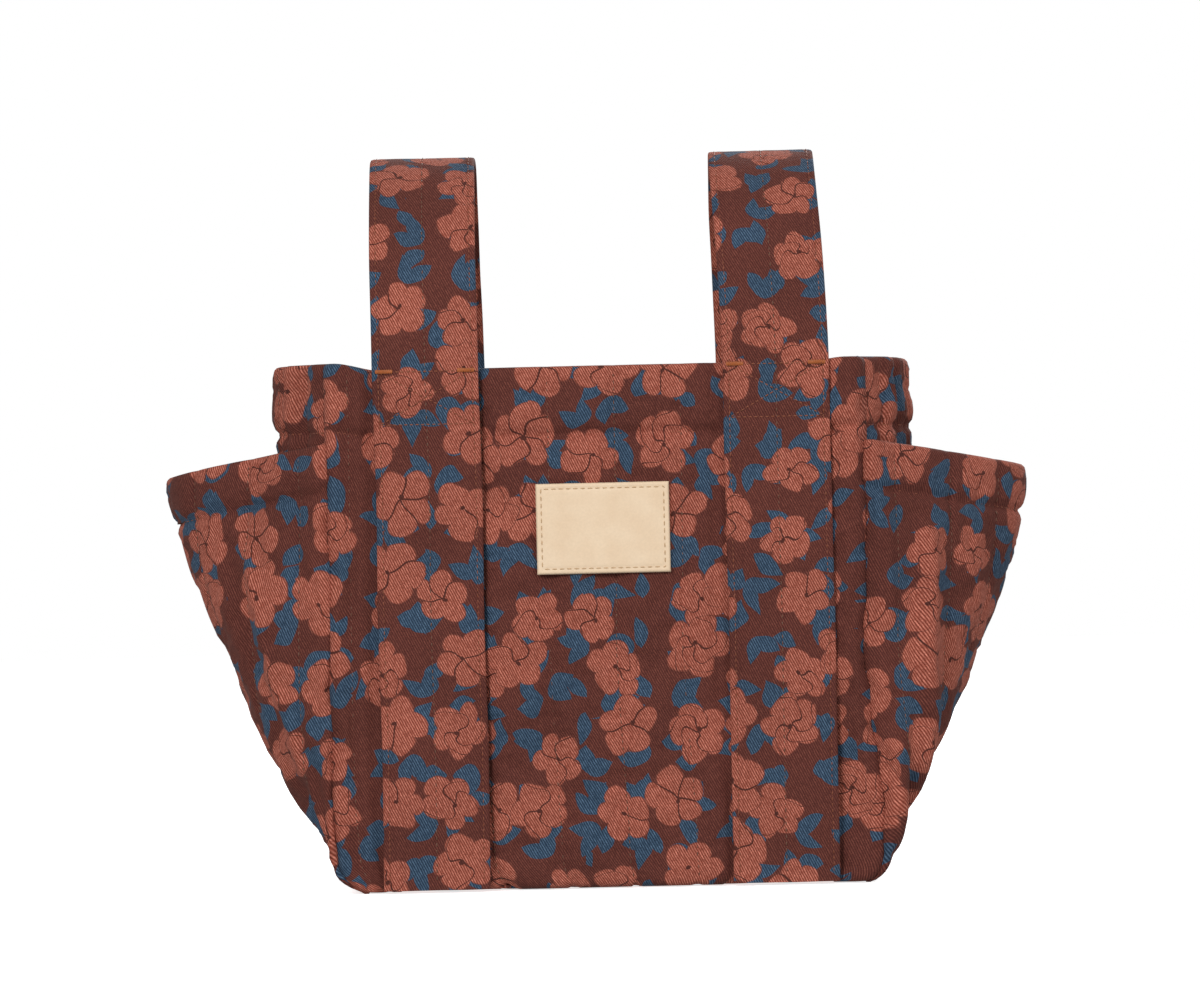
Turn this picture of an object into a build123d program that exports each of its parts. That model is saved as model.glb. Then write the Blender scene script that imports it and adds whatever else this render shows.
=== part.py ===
"""A small quilted diaper bag that hangs on a stroller's handlebar.

A box-shaped body of quilted printed twill has a flared pocket on each side and two wide straps.
Each strap is sewn up the front panel, arches over the mouth and snaps to the back panel.
The row frame is in millimetres: the origin is at the centre of the base, +Z is up, the front
faces -Y, and left and right are as seen from the front.
"""

import os
from math import hypot

from build123d import *

# Driving dimensions of the body
BODY_WIDTH = 204.0  # front panel, seam to seam
BODY_DEPTH = 120.0
BODY_HEIGHT = 196.0
SIDE_BULGE_BASE = 1.0  # how far a side panel bows out past the front panel's edge
SIDE_BULGE_RIM = 18.0

# Cloth layers, from the outside in, with a hair's breadth between them
TWILL = 0.9
WADDING = 2.2
LINING = 0.7
PLY_GAP = 0.1
BOARD = 1.5  # stiffener under the lining of the base
HEM_DEPTH = 25.5  # how far the rim is turned in

# Side pockets: height, half-width and half-depth of the outer face, from the base to the mouth
POCKET_SIDE_X = BODY_WIDTH / 2 + 0.2
POCKET_LEVELS = (
    (1.0, 106.5, 54.0),
    (70.0, 133.0, 37.0),
    (138.0, 158.0, 20.0),
    (168.0, 162.5, 18.0),
)
POCKET_CORNER = 15.0
POCKET_RIM_INNER_Z = 166.0  # rim height where the pocket leaves the front panel
POCKET_RIM_OUTER_Z = 156.0  # rim height at its outermost point
POCKET_HEM_DEPTH = 18.0

# Straps
STRAP_WIDTH = 40.0
STRAP_X = 65.0  # strap centre from the middle of the bag
STRAP_THICKNESS = 3.0
STRAP_TOP = 275.0
BACK_BAND_THICKNESS = 2.5
SEAM_GAP = 0.2  # between a sewn-on band and the panel under it
FOLD_GAP = 0.3  # between the two sides of a fold that moves
TAIL_LENGTH = 50.0  # how far the tail hangs below the rim

# Press studs: the tail carries one, the back band two to choose from
STUD_Z = (161.0, 133.0)
SNAP_RADIUS = 6.0
STUD_HEAD_RADIUS = 2.9
SOCKET_BORE_RADIUS = 3.2
CAP_RADIUS = 7.5
RIVET_RADIUS = 2.0
RIVET_HOLE_RADIUS = 2.2
FLANGE = 0.3
SNAP_REACH = 1.85  # stud head height above its flange

# Leather label and the bar tacks at the foot of each free strap
LABEL_WIDTH, LABEL_HEIGHT, LABEL_THICKNESS = 50.0, 34.0, 1.6
LABEL_Z = 135.0
TACK_LENGTH, TACK_HEIGHT, TACK_THICKNESS = 10.0, 1.6, 0.8
TACK_X = 12.5  # tack centre from the strap's centre line

# Slip pocket sewn inside the back, in two bays with an elastic top
SLIP_HALF_WIDTH = 80.0
SLIP_BOTTOM, SLIP_TOP = 24.0, 120.0
SLIP_BOW = 11.0
ELASTIC_HEIGHT = 10.0

# Worked out from the above
HALF_W = BODY_WIDTH / 2
HALF_D = BODY_DEPTH / 2
WADDING_IN = TWILL + PLY_GAP
LINING_IN = WADDING_IN + WADDING + PLY_GAP
WALL = LINING_IN + LINING
WALL_FOOT = TWILL + PLY_GAP
WALL_TOP = BODY_HEIGHT - TWILL - PLY_GAP
FRONT_BAND_BACK = -HALF_D - SEAM_GAP
FRONT_BAND_FACE = FRONT_BAND_BACK - STRAP_THICKNESS
BACK_BAND_FACE = HALF_D + SEAM_GAP + BACK_BAND_THICKNESS
TAIL_BACK = BACK_BAND_FACE + FLANGE + SNAP_REACH + 0.15
STRAP_FOOT = BODY_HEIGHT + 1.1
ARCH_Y = (FRONT_BAND_BACK + TAIL_BACK) / 2
ARCH_REACH = (TAIL_BACK - FRONT_BAND_BACK) / 2
ARCH_RISE = STRAP_TOP - STRAP_THICKNESS - STRAP_FOOT


def block(x, y, z):
    """A box between two limits on each axis."""
    middle = ((x[0] + x[1]) / 2, (y[0] + y[1]) / 2, (z[0] + z[1]) / 2)
    return Pos(*middle) * Box(x[1] - x[0], y[1] - y[0], z[1] - z[0])


def mirrored(solid):
    """The same piece on the other side of the bag."""
    return mirror(solid, about=Plane.YZ)


def cylinder_along_y(x, z, radius, y_low, y_high):
    """A round bar that runs from front to back."""
    middle = (x, (y_low + y_high) / 2, z)
    return Pos(*middle) * Rot(90, 0, 0) * Cylinder(radius, y_high - y_low)


def bulge_at(z):
    """How far the side panels bow out at a height."""
    share = (z - WALL_FOOT) / (BODY_HEIGHT - WALL_FOOT)
    return SIDE_BULGE_BASE + (SIDE_BULGE_RIM - SIDE_BULGE_BASE) * share


def body_outline(z, inset):
    """The body's plan at a height: straight front and back, bowed sides."""
    x, y = HALF_W - inset, HALF_D - inset
    tip = x + bulge_at(z)
    edges = [
        Line((-x, -y), (x, -y)),
        ThreePointArc((x, -y), (tip, 0), (x, y)),
        Line((x, y), (-x, y)),
        ThreePointArc((-x, y), (-tip, 0), (-x, -y)),
    ]
    return Pos(0, 0, z) * make_face(edges)


def body_core(inset, low, high):
    """The body's volume inside a given inset, between two heights."""
    return loft([body_outline(low, inset), body_outline(high, inset)], ruled=True)


# ---------------------------------------------------------------- body walls


def flat_ply(side, inset, thickness, low=WALL_FOOT, high=WALL_TOP):
    """One layer of the front (side -1) or back (side 1) wall."""
    y = sorted((side * (HALF_D - inset), side * (HALF_D - inset - thickness)))
    return block((-HALF_W, HALF_W), y, (low, high))


def side_strip(z, inset, thickness):
    """The plan of one layer of the right side wall at a height."""
    outer, y = HALF_W - inset, HALF_D - WALL - PLY_GAP
    inner, bow = outer - thickness, bulge_at(z)
    edges = [
        ThreePointArc((outer, -y), (outer + bow, 0), (outer, y)),
        Line((outer, y), (inner, y)),
        ThreePointArc((inner, y), (inner + bow, 0), (inner, -y)),
        Line((inner, -y), (outer, -y)),
    ]
    return Pos(0, 0, z) * make_face(edges)


def side_ply(inset, thickness):
    """One layer of the right side wall."""
    levels = [side_strip(z, inset, thickness) for z in (WALL_FOOT, WALL_TOP)]
    return loft(levels, ruled=True)


def rim_facing():
    """The printed cloth turned over the rim and stitched down inside the mouth."""
    inner = WALL + PLY_GAP
    ring = body_core(inner, BODY_HEIGHT - HEM_DEPTH, BODY_HEIGHT)
    cap = body_core(0, BODY_HEIGHT - TWILL, BODY_HEIGHT)
    mouth = body_core(inner + TWILL, BODY_HEIGHT - HEM_DEPTH - 1, BODY_HEIGHT + 1)
    return ring + cap - mouth


# ---------------------------------------------------------------- base


def base_layer(bottom, thickness):
    """A flat layer that lies between the walls."""
    x, y = HALF_W - WALL - PLY_GAP, HALF_D - WALL - PLY_GAP
    return block((-x, x), (-y, y), (bottom, bottom + thickness))


BASE_WADDING_Z = TWILL + PLY_GAP
BOARD_Z = BASE_WADDING_Z + WADDING + PLY_GAP
BASE_LINING_Z = BOARD_Z + BOARD + PLY_GAP


# ---------------------------------------------------------------- side pockets


def pocket_size(z):
    """The pocket's outer half-width and half-depth at a height, straight between levels."""
    for (z0, x0, y0), (z1, x1, y1) in zip(POCKET_LEVELS, POCKET_LEVELS[1:]):
        if z <= z1:
            share = (z - z0) / (z1 - z0)
            return x0 + (x1 - x0) * share, y0 + (y1 - y0) * share
    raise ValueError(z)


def pocket_outline(z, inset):
    """The right pocket's plan at a height: walls that close in, and a rounded outer face."""
    outer_x, outer_y = pocket_size(z)
    slope = (HALF_D - outer_y) / (outer_x - POCKET_SIDE_X)
    near_y = HALF_D - inset * hypot(1, slope)
    far_x = outer_x - inset
    far_y = near_y - slope * (far_x - POCKET_SIDE_X)
    wall = hypot(far_x - POCKET_SIDE_X, near_y - far_y)
    corner = min(POCKET_CORNER, 0.5 * wall, 0.8 * far_y)
    corners = [
        (POCKET_SIDE_X, -near_y),
        (far_x, -far_y),
        (far_x, far_y),
        (POCKET_SIDE_X, near_y),
    ]
    path = FilletPolyline(*corners, radius=[corner, corner])
    closed = Wire(path.edges() + [Line(corners[-1], corners[0]).edge()])
    return Pos(0, 0, z) * Face(closed)


def pocket_core(inset, low, high):
    """The pocket's volume inside a given inset, between two heights."""
    between = [z for z, _, _ in POCKET_LEVELS if low < z < high]
    levels = [pocket_outline(z, inset) for z in (low, *between, high)]
    return loft(levels, ruled=True)


def under_slanted_rim(drop):
    """The space below the pocket's rim, which falls towards its outer face."""
    reach = POCKET_LEVELS[-1][1] - POCKET_SIDE_X
    low_z = POCKET_LEVELS[0][0] - 1
    fall = (POCKET_RIM_INNER_Z - POCKET_RIM_OUTER_Z) / reach
    near, far = POCKET_SIDE_X - 1, POCKET_SIDE_X + reach + 5
    top_near = POCKET_RIM_INNER_Z + fall - drop
    top_far = POCKET_RIM_INNER_Z - fall * (far - POCKET_SIDE_X) - drop
    corners = [(near, low_z), (far, low_z), (far, top_far), (near, top_near)]
    side_view = Plane.XZ * make_face(Polyline(*corners, close=True))
    return extrude(side_view, amount=BODY_DEPTH, both=True)


POCKET_FOOT = POCKET_LEVELS[0][0]
POCKET_CUT = POCKET_LEVELS[-1][0]


def clear_of_body(solid):
    """The pocket's piece with its ends trimmed to the bowed side of the bag."""
    return solid - body_core(-SEAM_GAP, 0, BODY_HEIGHT)


def pocket_ply(inset, thickness):
    """One layer of the pocket's wall."""
    wall = pocket_core(inset, POCKET_FOOT, POCKET_CUT)
    space = pocket_core(inset + thickness, POCKET_FOOT, POCKET_CUT)
    return clear_of_body((wall - space) & under_slanted_rim(TWILL + PLY_GAP))


def pocket_facing():
    """The pocket's cloth turned over its rim and stitched down inside."""
    inner = WALL + PLY_GAP
    low = POCKET_RIM_OUTER_Z - POCKET_HEM_DEPTH - 5
    ring = pocket_core(inner, low, POCKET_CUT) - under_slanted_rim(POCKET_HEM_DEPTH)
    cap = pocket_core(0, low, POCKET_CUT) - under_slanted_rim(TWILL)
    hollow = pocket_core(inner + TWILL, low, POCKET_CUT)
    return clear_of_body((ring + cap - hollow) & under_slanted_rim(0))


# ---------------------------------------------------------------- straps


def strap_span(side):
    """The limits of a strap across the bag."""
    x = side * STRAP_X
    return x - STRAP_WIDTH / 2, x + STRAP_WIDTH / 2


def front_band(side):
    """The length of strap that is sewn down the front panel."""
    return block(strap_span(side), (FRONT_BAND_FACE, FRONT_BAND_BACK), (WALL_FOOT, BODY_HEIGHT))


def back_band(side):
    """The band sewn up the back panel, pierced for the two studs."""
    y = HALF_D + SEAM_GAP, BACK_BAND_FACE
    band = block(strap_span(side), y, (WALL_FOOT, BODY_HEIGHT))
    for z in STUD_Z:
        band -= cylinder_along_y(side * STRAP_X, z, RIVET_HOLE_RADIUS, y[0] - 1, y[1] + 1)
    return band


def arch_section():
    """The strap's arch over the mouth, seen from the side."""
    thick = STRAP_THICKNESS
    outer = Ellipse(ARCH_REACH + thick, ARCH_RISE + thick)
    inner = Ellipse(ARCH_REACH, ARCH_RISE)
    upper = Pos(0, STRAP_TOP / 2) * Rectangle(BODY_DEPTH * 2, STRAP_TOP)
    return Pos(ARCH_Y, STRAP_FOOT) * ((outer - inner) & upper)


def along_strap(side_view, side):
    """A side view, drawn as (y, z), given the strap's width."""
    across = Plane(origin=(strap_span(side)[0], 0, 0), x_dir=(0, 1, 0), z_dir=(1, 0, 0))
    return extrude(across * side_view, amount=STRAP_WIDTH)


def strap_front(side):
    """The free strap from the front rim to the top of the arch."""
    keep = Pos(ARCH_Y - BODY_DEPTH / 2 - FOLD_GAP / 2, STRAP_TOP) * Rectangle(
        BODY_DEPTH, STRAP_TOP
    )
    return along_strap(arch_section() & keep, side)


def strap_tail(side):
    """The free strap from the top of the arch to its end, behind the back panel."""
    keep = Pos(ARCH_Y + BODY_DEPTH / 2 + FOLD_GAP / 2, STRAP_TOP) * Rectangle(
        BODY_DEPTH, STRAP_TOP
    )
    end = BODY_HEIGHT - TAIL_LENGTH
    hanging = Pos(TAIL_BACK + STRAP_THICKNESS / 2, (STRAP_FOOT + end) / 2) * Rectangle(
        STRAP_THICKNESS, STRAP_FOOT - end
    )
    tail = along_strap((arch_section() & keep) + hanging, side)
    hole = cylinder_along_y(
        side * STRAP_X, STUD_Z[0], RIVET_HOLE_RADIUS, TAIL_BACK - 1, TAIL_BACK + 2 * STRAP_THICKNESS
    )
    return tail - hole


def bar_tacks():
    """Four dense stitches that hold the feet of the two free straps to the rim."""
    z = BODY_HEIGHT - TACK_HEIGHT - 0.6, BODY_HEIGHT - 0.6
    y = FRONT_BAND_FACE - TACK_THICKNESS, FRONT_BAND_FACE
    tacks = []
    for side in (-1, 1):
        for end in (-1, 1):
            x = side * STRAP_X + end * TACK_X
            tacks.append(block((x - TACK_LENGTH / 2, x + TACK_LENGTH / 2), y, z))
    return Compound(children=tacks)


# ---------------------------------------------------------------- press studs


def snap_studs(side):
    """The male halves on the back band: a flange, a head and a rivet through the band."""
    x = side * STRAP_X
    low = BACK_BAND_FACE
    studs = []
    for z in STUD_Z:
        flange = cylinder_along_y(x, z, SNAP_RADIUS, low, low + FLANGE)
        head = cylinder_along_y(x, z, STUD_HEAD_RADIUS, low + FLANGE, low + FLANGE + SNAP_REACH)
        rivet = cylinder_along_y(x, z, RIVET_RADIUS, HALF_D + SEAM_GAP, low)
        studs.append(flange + head + rivet)
    return Compound(children=studs)


def snap_socket(side):
    """The female half on the inner face of the tail: a plate with a sprung collar."""
    x, z = side * STRAP_X, STUD_Z[0]
    plate_back = TAIL_BACK - 0.1
    collar_front = BACK_BAND_FACE + FLANGE + FOLD_GAP
    collar = cylinder_along_y(x, z, SNAP_RADIUS, collar_front, TAIL_BACK)
    bore = cylinder_along_y(x, z, SOCKET_BORE_RADIUS, collar_front - 1, plate_back)
    return collar - bore


def snap_cap(side):
    """The domed cap on the outer face of the tail, with a rivet through the strap."""
    x, z = side * STRAP_X, STUD_Z[0]
    face = TAIL_BACK + STRAP_THICKNESS
    cap = cylinder_along_y(x, z, CAP_RADIUS, face, face + 1.6)
    cap = fillet(cap.edges().group_by(Axis.Y)[-1], 1.2)
    return cap + cylinder_along_y(x, z, RIVET_RADIUS, TAIL_BACK, face)


# ---------------------------------------------------------------- trim and inside


def leather_label():
    """The stitched-on leather patch between the straps."""
    y = -HALF_D - SEAM_GAP - LABEL_THICKNESS, -HALF_D - SEAM_GAP
    z = LABEL_Z - LABEL_HEIGHT / 2, LABEL_Z + LABEL_HEIGHT / 2
    return block((-LABEL_WIDTH / 2, LABEL_WIDTH / 2), y, z)


SLIP_WALL_Y = HALF_D - WALL - PLY_GAP


def slip_region(bay, bow, inset):
    """The plan of one bay of the slip pocket, bowed away from the back lining."""
    x0, x1 = sorted((inset * bay, (SLIP_HALF_WIDTH - inset) * bay))
    arc = ThreePointArc((x0, SLIP_WALL_Y), ((x0 + x1) / 2, SLIP_WALL_Y - bow), (x1, SLIP_WALL_Y))
    return make_face([arc.edge(), Line((x1, SLIP_WALL_Y), (x0, SLIP_WALL_Y)).edge()])


def slip_panel():
    """The two bays of the slip pocket, each a bowed wall with a closed foot."""
    thick = LINING
    bays = []
    for bay in (-1, 1):
        outer = slip_region(bay, SLIP_BOW, PLY_GAP)
        inner = slip_region(bay, SLIP_BOW - thick, PLY_GAP + 2 * thick)
        wall = Pos(0, 0, SLIP_BOTTOM) * extrude(outer - inner, amount=SLIP_TOP - SLIP_BOTTOM)
        foot = Pos(0, 0, SLIP_BOTTOM) * extrude(outer, amount=thick)
        bays.append(wall + foot)
    return Compound(children=bays)


def slip_elastic():
    """The elastic inside the slip pocket's top hem, one length for each bay."""
    thick = LINING
    lengths = []
    for bay in (-1, 1):
        outer = slip_region(bay, SLIP_BOW - thick - PLY_GAP, PLY_GAP + 3 * thick)
        inner = slip_region(bay, SLIP_BOW - 2 * thick - PLY_GAP, PLY_GAP + 5 * thick)
        ring = extrude(outer - inner, amount=ELASTIC_HEIGHT)
        lengths.append(Pos(0, 0, SLIP_TOP - ELASTIC_HEIGHT) * ring)
    return Compound(children=lengths)


# ---------------------------------------------------------------- all nodes


def all_parts():
    """Every node of the bag, by name."""
    parts = {}
    for name, side in (("front", -1), ("back", 1)):
        parts[f"{name}_panel"] = flat_ply(side, 0, TWILL)
        parts[f"{name}_wadding"] = flat_ply(side, WADDING_IN, WADDING)
        parts[f"{name}_lining"] = flat_ply(side, LINING_IN, LINING)

    right = {
        "side_panel": side_ply(0, TWILL),
        "side_wadding": side_ply(WADDING_IN, WADDING),
        "side_lining": side_ply(LINING_IN, LINING),
        "pocket_panel": pocket_ply(0, TWILL),
        "pocket_wadding": pocket_ply(WADDING_IN, WADDING),
        "pocket_lining": pocket_ply(LINING_IN, LINING),
        "pocket_facing": pocket_facing(),
    }
    for name, solid in right.items():
        parts[f"right_{name}"] = solid
        parts[f"left_{name}"] = mirrored(solid)

    parts["base_panel"] = body_core(0, 0, TWILL)
    parts["base_wadding"] = base_layer(BASE_WADDING_Z, WADDING)
    parts["base_board"] = base_layer(BOARD_Z, BOARD)
    parts["base_lining"] = base_layer(BASE_LINING_Z, LINING)
    parts["rim_facing"] = rim_facing()

    for name, side in (("left", -1), ("right", 1)):
        parts[f"{name}_front_band"] = front_band(side)
        parts[f"{name}_back_band"] = back_band(side)
        parts[f"{name}_strap"] = strap_front(side)
        parts[f"{name}_strap_tail"] = strap_tail(side)
        parts[f"{name}_snap_studs"] = snap_studs(side)
        parts[f"{name}_snap_socket"] = snap_socket(side)
        parts[f"{name}_snap_cap"] = snap_cap(side)

    parts["bar_tacks"] = bar_tacks()
    parts["leather_label"] = leather_label()
    parts["slip_pocket"] = slip_panel()
    parts["slip_pocket_elastic"] = slip_elastic()
    return parts


os.makedirs("parts", exist_ok=True)
for node, shape in all_parts().items():
    export_step(shape, f"parts/{node}.step")
    print(f"{node}: {len(shape.solids())} solids, {shape.volume:.0f} mm3")
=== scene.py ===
"""A small quilted stroller bag in printed twill, dressed over its CAD model.

Lengths in this file are millimetres unless they end in _m. The front faces -Y and +Z is up.
"""

import math
from functools import partial

import bmesh
import bpy
import numpy as np
from mathutils import Matrix, Vector, noise


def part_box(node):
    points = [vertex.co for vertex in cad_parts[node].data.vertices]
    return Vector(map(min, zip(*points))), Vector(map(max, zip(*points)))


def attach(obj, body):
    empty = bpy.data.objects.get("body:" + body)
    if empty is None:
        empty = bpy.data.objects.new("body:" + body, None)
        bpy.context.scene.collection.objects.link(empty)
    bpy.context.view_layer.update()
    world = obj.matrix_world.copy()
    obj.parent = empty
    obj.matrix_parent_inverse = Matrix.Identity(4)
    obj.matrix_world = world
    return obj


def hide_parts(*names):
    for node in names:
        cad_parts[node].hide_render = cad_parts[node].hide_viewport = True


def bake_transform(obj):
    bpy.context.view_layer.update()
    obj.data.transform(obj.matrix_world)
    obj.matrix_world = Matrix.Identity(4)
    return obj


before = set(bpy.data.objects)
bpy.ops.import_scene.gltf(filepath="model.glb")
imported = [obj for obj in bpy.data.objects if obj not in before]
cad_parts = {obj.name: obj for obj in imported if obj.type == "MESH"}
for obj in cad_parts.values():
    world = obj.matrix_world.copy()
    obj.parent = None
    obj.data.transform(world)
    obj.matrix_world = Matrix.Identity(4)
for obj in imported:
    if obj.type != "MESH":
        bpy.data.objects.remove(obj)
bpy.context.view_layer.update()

MM = 0.001

# ---------------------------------------------------------------- the printed twill
# Cotton twill of about 230 g/m2, roller-printed with rust flowers and blue-green leaves on
# chocolate brown. The weave's steep ridges catch the light as fine broken lines running down
# to the right, drawn as a painted highlight: a lighter tone of each colour along the ridges.
# The loose fibre ends give it a soft sheen.


def linear(code):
    """The linear colour of an sRGB hex code."""
    channels = [int(code[i : i + 2], 16) / 255 for i in (1, 3, 5)]
    return tuple(
        c / 12.92 if c <= 0.04045 else ((c + 0.055) / 1.055) ** 2.4 for c in channels
    ) + (1.0,)


def add_node(tree, kind, *inputs, **settings):
    """Adds a node, sets its properties, and links or sets its input sockets.

    The inputs are values in order, or one dict by socket. A word comes first where the node has
    operations, and names one. A node among the inputs stands for its first output.
    """
    made = tree.nodes.new("ShaderNode" + kind)
    if inputs and isinstance(inputs[0], str):
        made.operation, inputs = inputs[0], inputs[1:]
    for name, value in settings.items():
        setattr(made, name, value)
    pairs = inputs[0].items() if inputs and isinstance(inputs[0], dict) else enumerate(inputs)
    for place, value in pairs:
        if isinstance(value, bpy.types.Node):
            value = value.outputs[0]
        if isinstance(value, bpy.types.NodeSocket):
            tree.links.new(value, made.inputs[place])
        else:
            made.inputs[place].default_value = value
    return made


def new_material(name):
    """An empty node material, and the function that adds its nodes."""
    made = bpy.data.materials.new(name)
    made.use_nodes = True
    made.node_tree.nodes.clear()
    return made, partial(add_node, made.node_tree)


# the second colour of each pair is a painted highlight: the lighter tone the weave's ridges show in
# the light
GROUND, GROUND_RIDGE_HIGHLIGHT = "#4e2520", "#8b5143"
PETAL, PETAL_RIDGE_HIGHLIGHT = "#7a3728", "#dc8b77"
LEAF, LEAF_RIDGE_HIGHLIGHT = "#203347", "#617b94"
PRINTED_LINE = "#43211c"
FLOWER_PITCH, FLOWER_RADIUS = 26.4, 10.5
LEAF_PITCH, LEAF_LENGTH, LEAF_HALF_WIDTH = 18.6, 11.8, 3.0
LEAF_SPREAD = math.radians(29)  # how far each leaf of a pair turns from their middle
LEAF_EDGE = 0.1  # how far the ink bleeds at a leaf's edge
LINE_HALF_WIDTH = 0.27
RIDGE_PITCH = 0.86  # the real 0.7 mm ridges are drawn this coarse so that they show
RIDGE_SLOPE = math.radians(27)
PETALS = 5.0
PETAL_TURN = math.tau / PETALS


def printed_flower(add, centre_offset, chances):
    """A lobed flower round a cell's centre, in shares of its radius.

    Returns its mask and its dark lines, 0 to 1.
    """
    dice = add("SeparateColor", chances).outputs
    turn = add("Math", "MULTIPLY", dice[0], math.tau)
    spun = add("VectorRotate", {"Vector": centre_offset, "Angle": turn}, rotation_type="Z_AXIS")
    grown = add("Math", "MULTIPLY_ADD", dice[1], -0.26, 1.13)
    sized = add("VectorMath", "SCALE", {0: spun, "Scale": grown})
    x, y, _ = add("SeparateXYZ", sized).outputs
    x = add("Math", "MULTIPLY", x, 0.92)
    y_squared = add("Math", "MULTIPLY", y, y)
    radius = add("Math", "ADD", add("Math", "MULTIPLY", x, x), y_squared)
    radius = add("Math", "SQRT", radius)
    angle = add("Math", "ARCTAN2", y, x)

    # which petal, and how far round it
    petal_place = add("Math", "MULTIPLY", angle, PETALS / math.tau)
    petal_number = add("Math", "FLOOR", petal_place)
    within = add("Math", "SUBTRACT", petal_place, petal_number)
    within = add("Math", "SUBTRACT", within, 0.5)
    petal_number = add("Math", "MODULO", petal_number, PETALS)
    seed = add("Math", "MULTIPLY_ADD", dice[0], 37.0, petal_number)
    petal_chance = add("TexWhiteNoise", {"W": seed}, noise_dimensions="1D")
    petal_angle = add("Math", "MULTIPLY", within, PETAL_TURN)
    along = add("Math", "MULTIPLY", radius, add("Math", "COSINE", petal_angle))
    along = add("Math", "SUBTRACT", along, 0.6)
    across = add("Math", "MULTIPLY", radius, add("Math", "SINE", petal_angle))
    across = add("Math", "MULTIPLY", across, 0.93)
    across_squared = add("Math", "MULTIPLY", across, across)
    from_middle = add("Math", "ADD", add("Math", "MULTIPLY", along, along), across_squared)
    from_middle = add("Math", "SQRT", from_middle)
    lobe = add("Math", "MULTIPLY_ADD", petal_chance, 0.09, 0.355)
    lobe = add("Math", "SUBTRACT", lobe, from_middle)
    heart = add("Math", "SUBTRACT", 0.46, radius)
    edge = add("Math", "SMOOTH_MAX", lobe, heart, 0.03)  # above 0 inside
    bleed = 0.012
    mask = add("Math", "MULTIPLY_ADD", edge, 0.5 / bleed, 0.5, use_clamp=True)

    # curved lines between some petals, a dot at the middle and a fine outline
    swirl = add("Math", "MULTIPLY_ADD", dice[2], 2.4, -1.0)
    bend = add("Math", "SINE", add("Math", "MULTIPLY", radius, 4.6))
    bend = add("Math", "MULTIPLY", add("Math", "MULTIPLY", bend, swirl), 0.62)
    line_place = add("Math", "ADD", add("Math", "ADD", petal_place, 0.5), bend)
    line_number = add("Math", "FLOOR", line_place)
    off_line = add("Math", "SUBTRACT", line_place, line_number)
    off_line = add("Math", "ABSOLUTE", add("Math", "SUBTRACT", off_line, 0.5))
    off_line = add("Math", "MULTIPLY", off_line, add("Math", "MULTIPLY", radius, PETAL_TURN))
    line_number = add("Math", "MODULO", add("Math", "ADD", line_number, PETALS), PETALS)
    line_seed = add("Math", "MULTIPLY_ADD", dice[0], 91.0, line_number)
    line_chance = add("TexWhiteNoise", {"W": line_seed}, noise_dimensions="1D")
    half = LINE_HALF_WIDTH / FLOWER_RADIUS
    drawn = add("Math", "MULTIPLY_ADD", off_line, -1 / (half * 0.8), 1.8, use_clamp=True)
    drawn = add("Math", "MULTIPLY", drawn, add("Math", "GREATER_THAN", line_chance, 0.38))
    shifted = add("Math", "SUBTRACT", x, 0.08)
    dot = add("Math", "ADD", add("Math", "MULTIPLY", shifted, shifted), y_squared)
    dot = add("Math", "MULTIPLY_ADD", add("Math", "SQRT", dot), -40.0, 3.6, use_clamp=True)
    outline = add("Math", "ABSOLUTE", edge)
    outline = add("Math", "MULTIPLY_ADD", outline, -1 / half, 1.35, use_clamp=True)
    outline = add("Math", "MULTIPLY", outline, 0.8)
    lines = add("Math", "MAXIMUM", add("Math", "MAXIMUM", drawn, dot), outline)
    return mask, add("Math", "MULTIPLY", lines, mask)


def printed_leaves(add, centre_offset, chances, pair):
    """One pointed leaf, or a pair from one stalk, at a cell's centre. Returns their mask."""
    dice = add("SeparateColor", chances).outputs
    turn = add("Math", "MULTIPLY", dice[0], math.tau)
    spun = add("VectorRotate", {"Vector": centre_offset, "Angle": turn}, rotation_type="Z_AXIS")
    x, y, _ = add("SeparateXYZ", spun).outputs
    x = add("Math", "ADD", x, LEAF_LENGTH * MM / 2)
    seed = add("Math", "MULTIPLY", dice[1], 53.0)
    if pair:
        seed = add("Math", "ADD", seed, add("Math", "SIGN", y))
        y = add("Math", "ABSOLUTE", y)
        cosine, sine = math.cos(LEAF_SPREAD), math.sin(LEAF_SPREAD)
        x, y = (
            add("Math", "MULTIPLY_ADD", x, cosine, add("Math", "MULTIPLY", y, sine)),
            add("Math", "MULTIPLY_ADD", y, cosine, add("Math", "MULTIPLY", x, -sine)),
        )
    chance = add("TexWhiteNoise", {"W": seed}, noise_dimensions="1D")
    half_length = add("Math", "MULTIPLY_ADD", chance, 0.34, 0.78)
    half_length = add("Math", "MULTIPLY", half_length, LEAF_LENGTH * MM / 2)
    along = add("Math", "DIVIDE", add("Math", "SUBTRACT", x, half_length), half_length)
    # widest nearer the stalk, and pointed at the tip
    belly = add("Math", "MULTIPLY_ADD", along, -0.3, 1.0)
    oval = add("Math", "MULTIPLY_ADD", add("Math", "MULTIPLY", along, along), -1.0, 1.0)
    width = add("Math", "MULTIPLY", add("Math", "MULTIPLY", oval, belly), LEAF_HALF_WIDTH * MM)
    inside = add("Math", "SUBTRACT", width, add("Math", "ABSOLUTE", y))
    return add("Math", "MULTIPLY_ADD", inside, 0.5 / (LEAF_EDGE * MM), 0.5, use_clamp=True)


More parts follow.
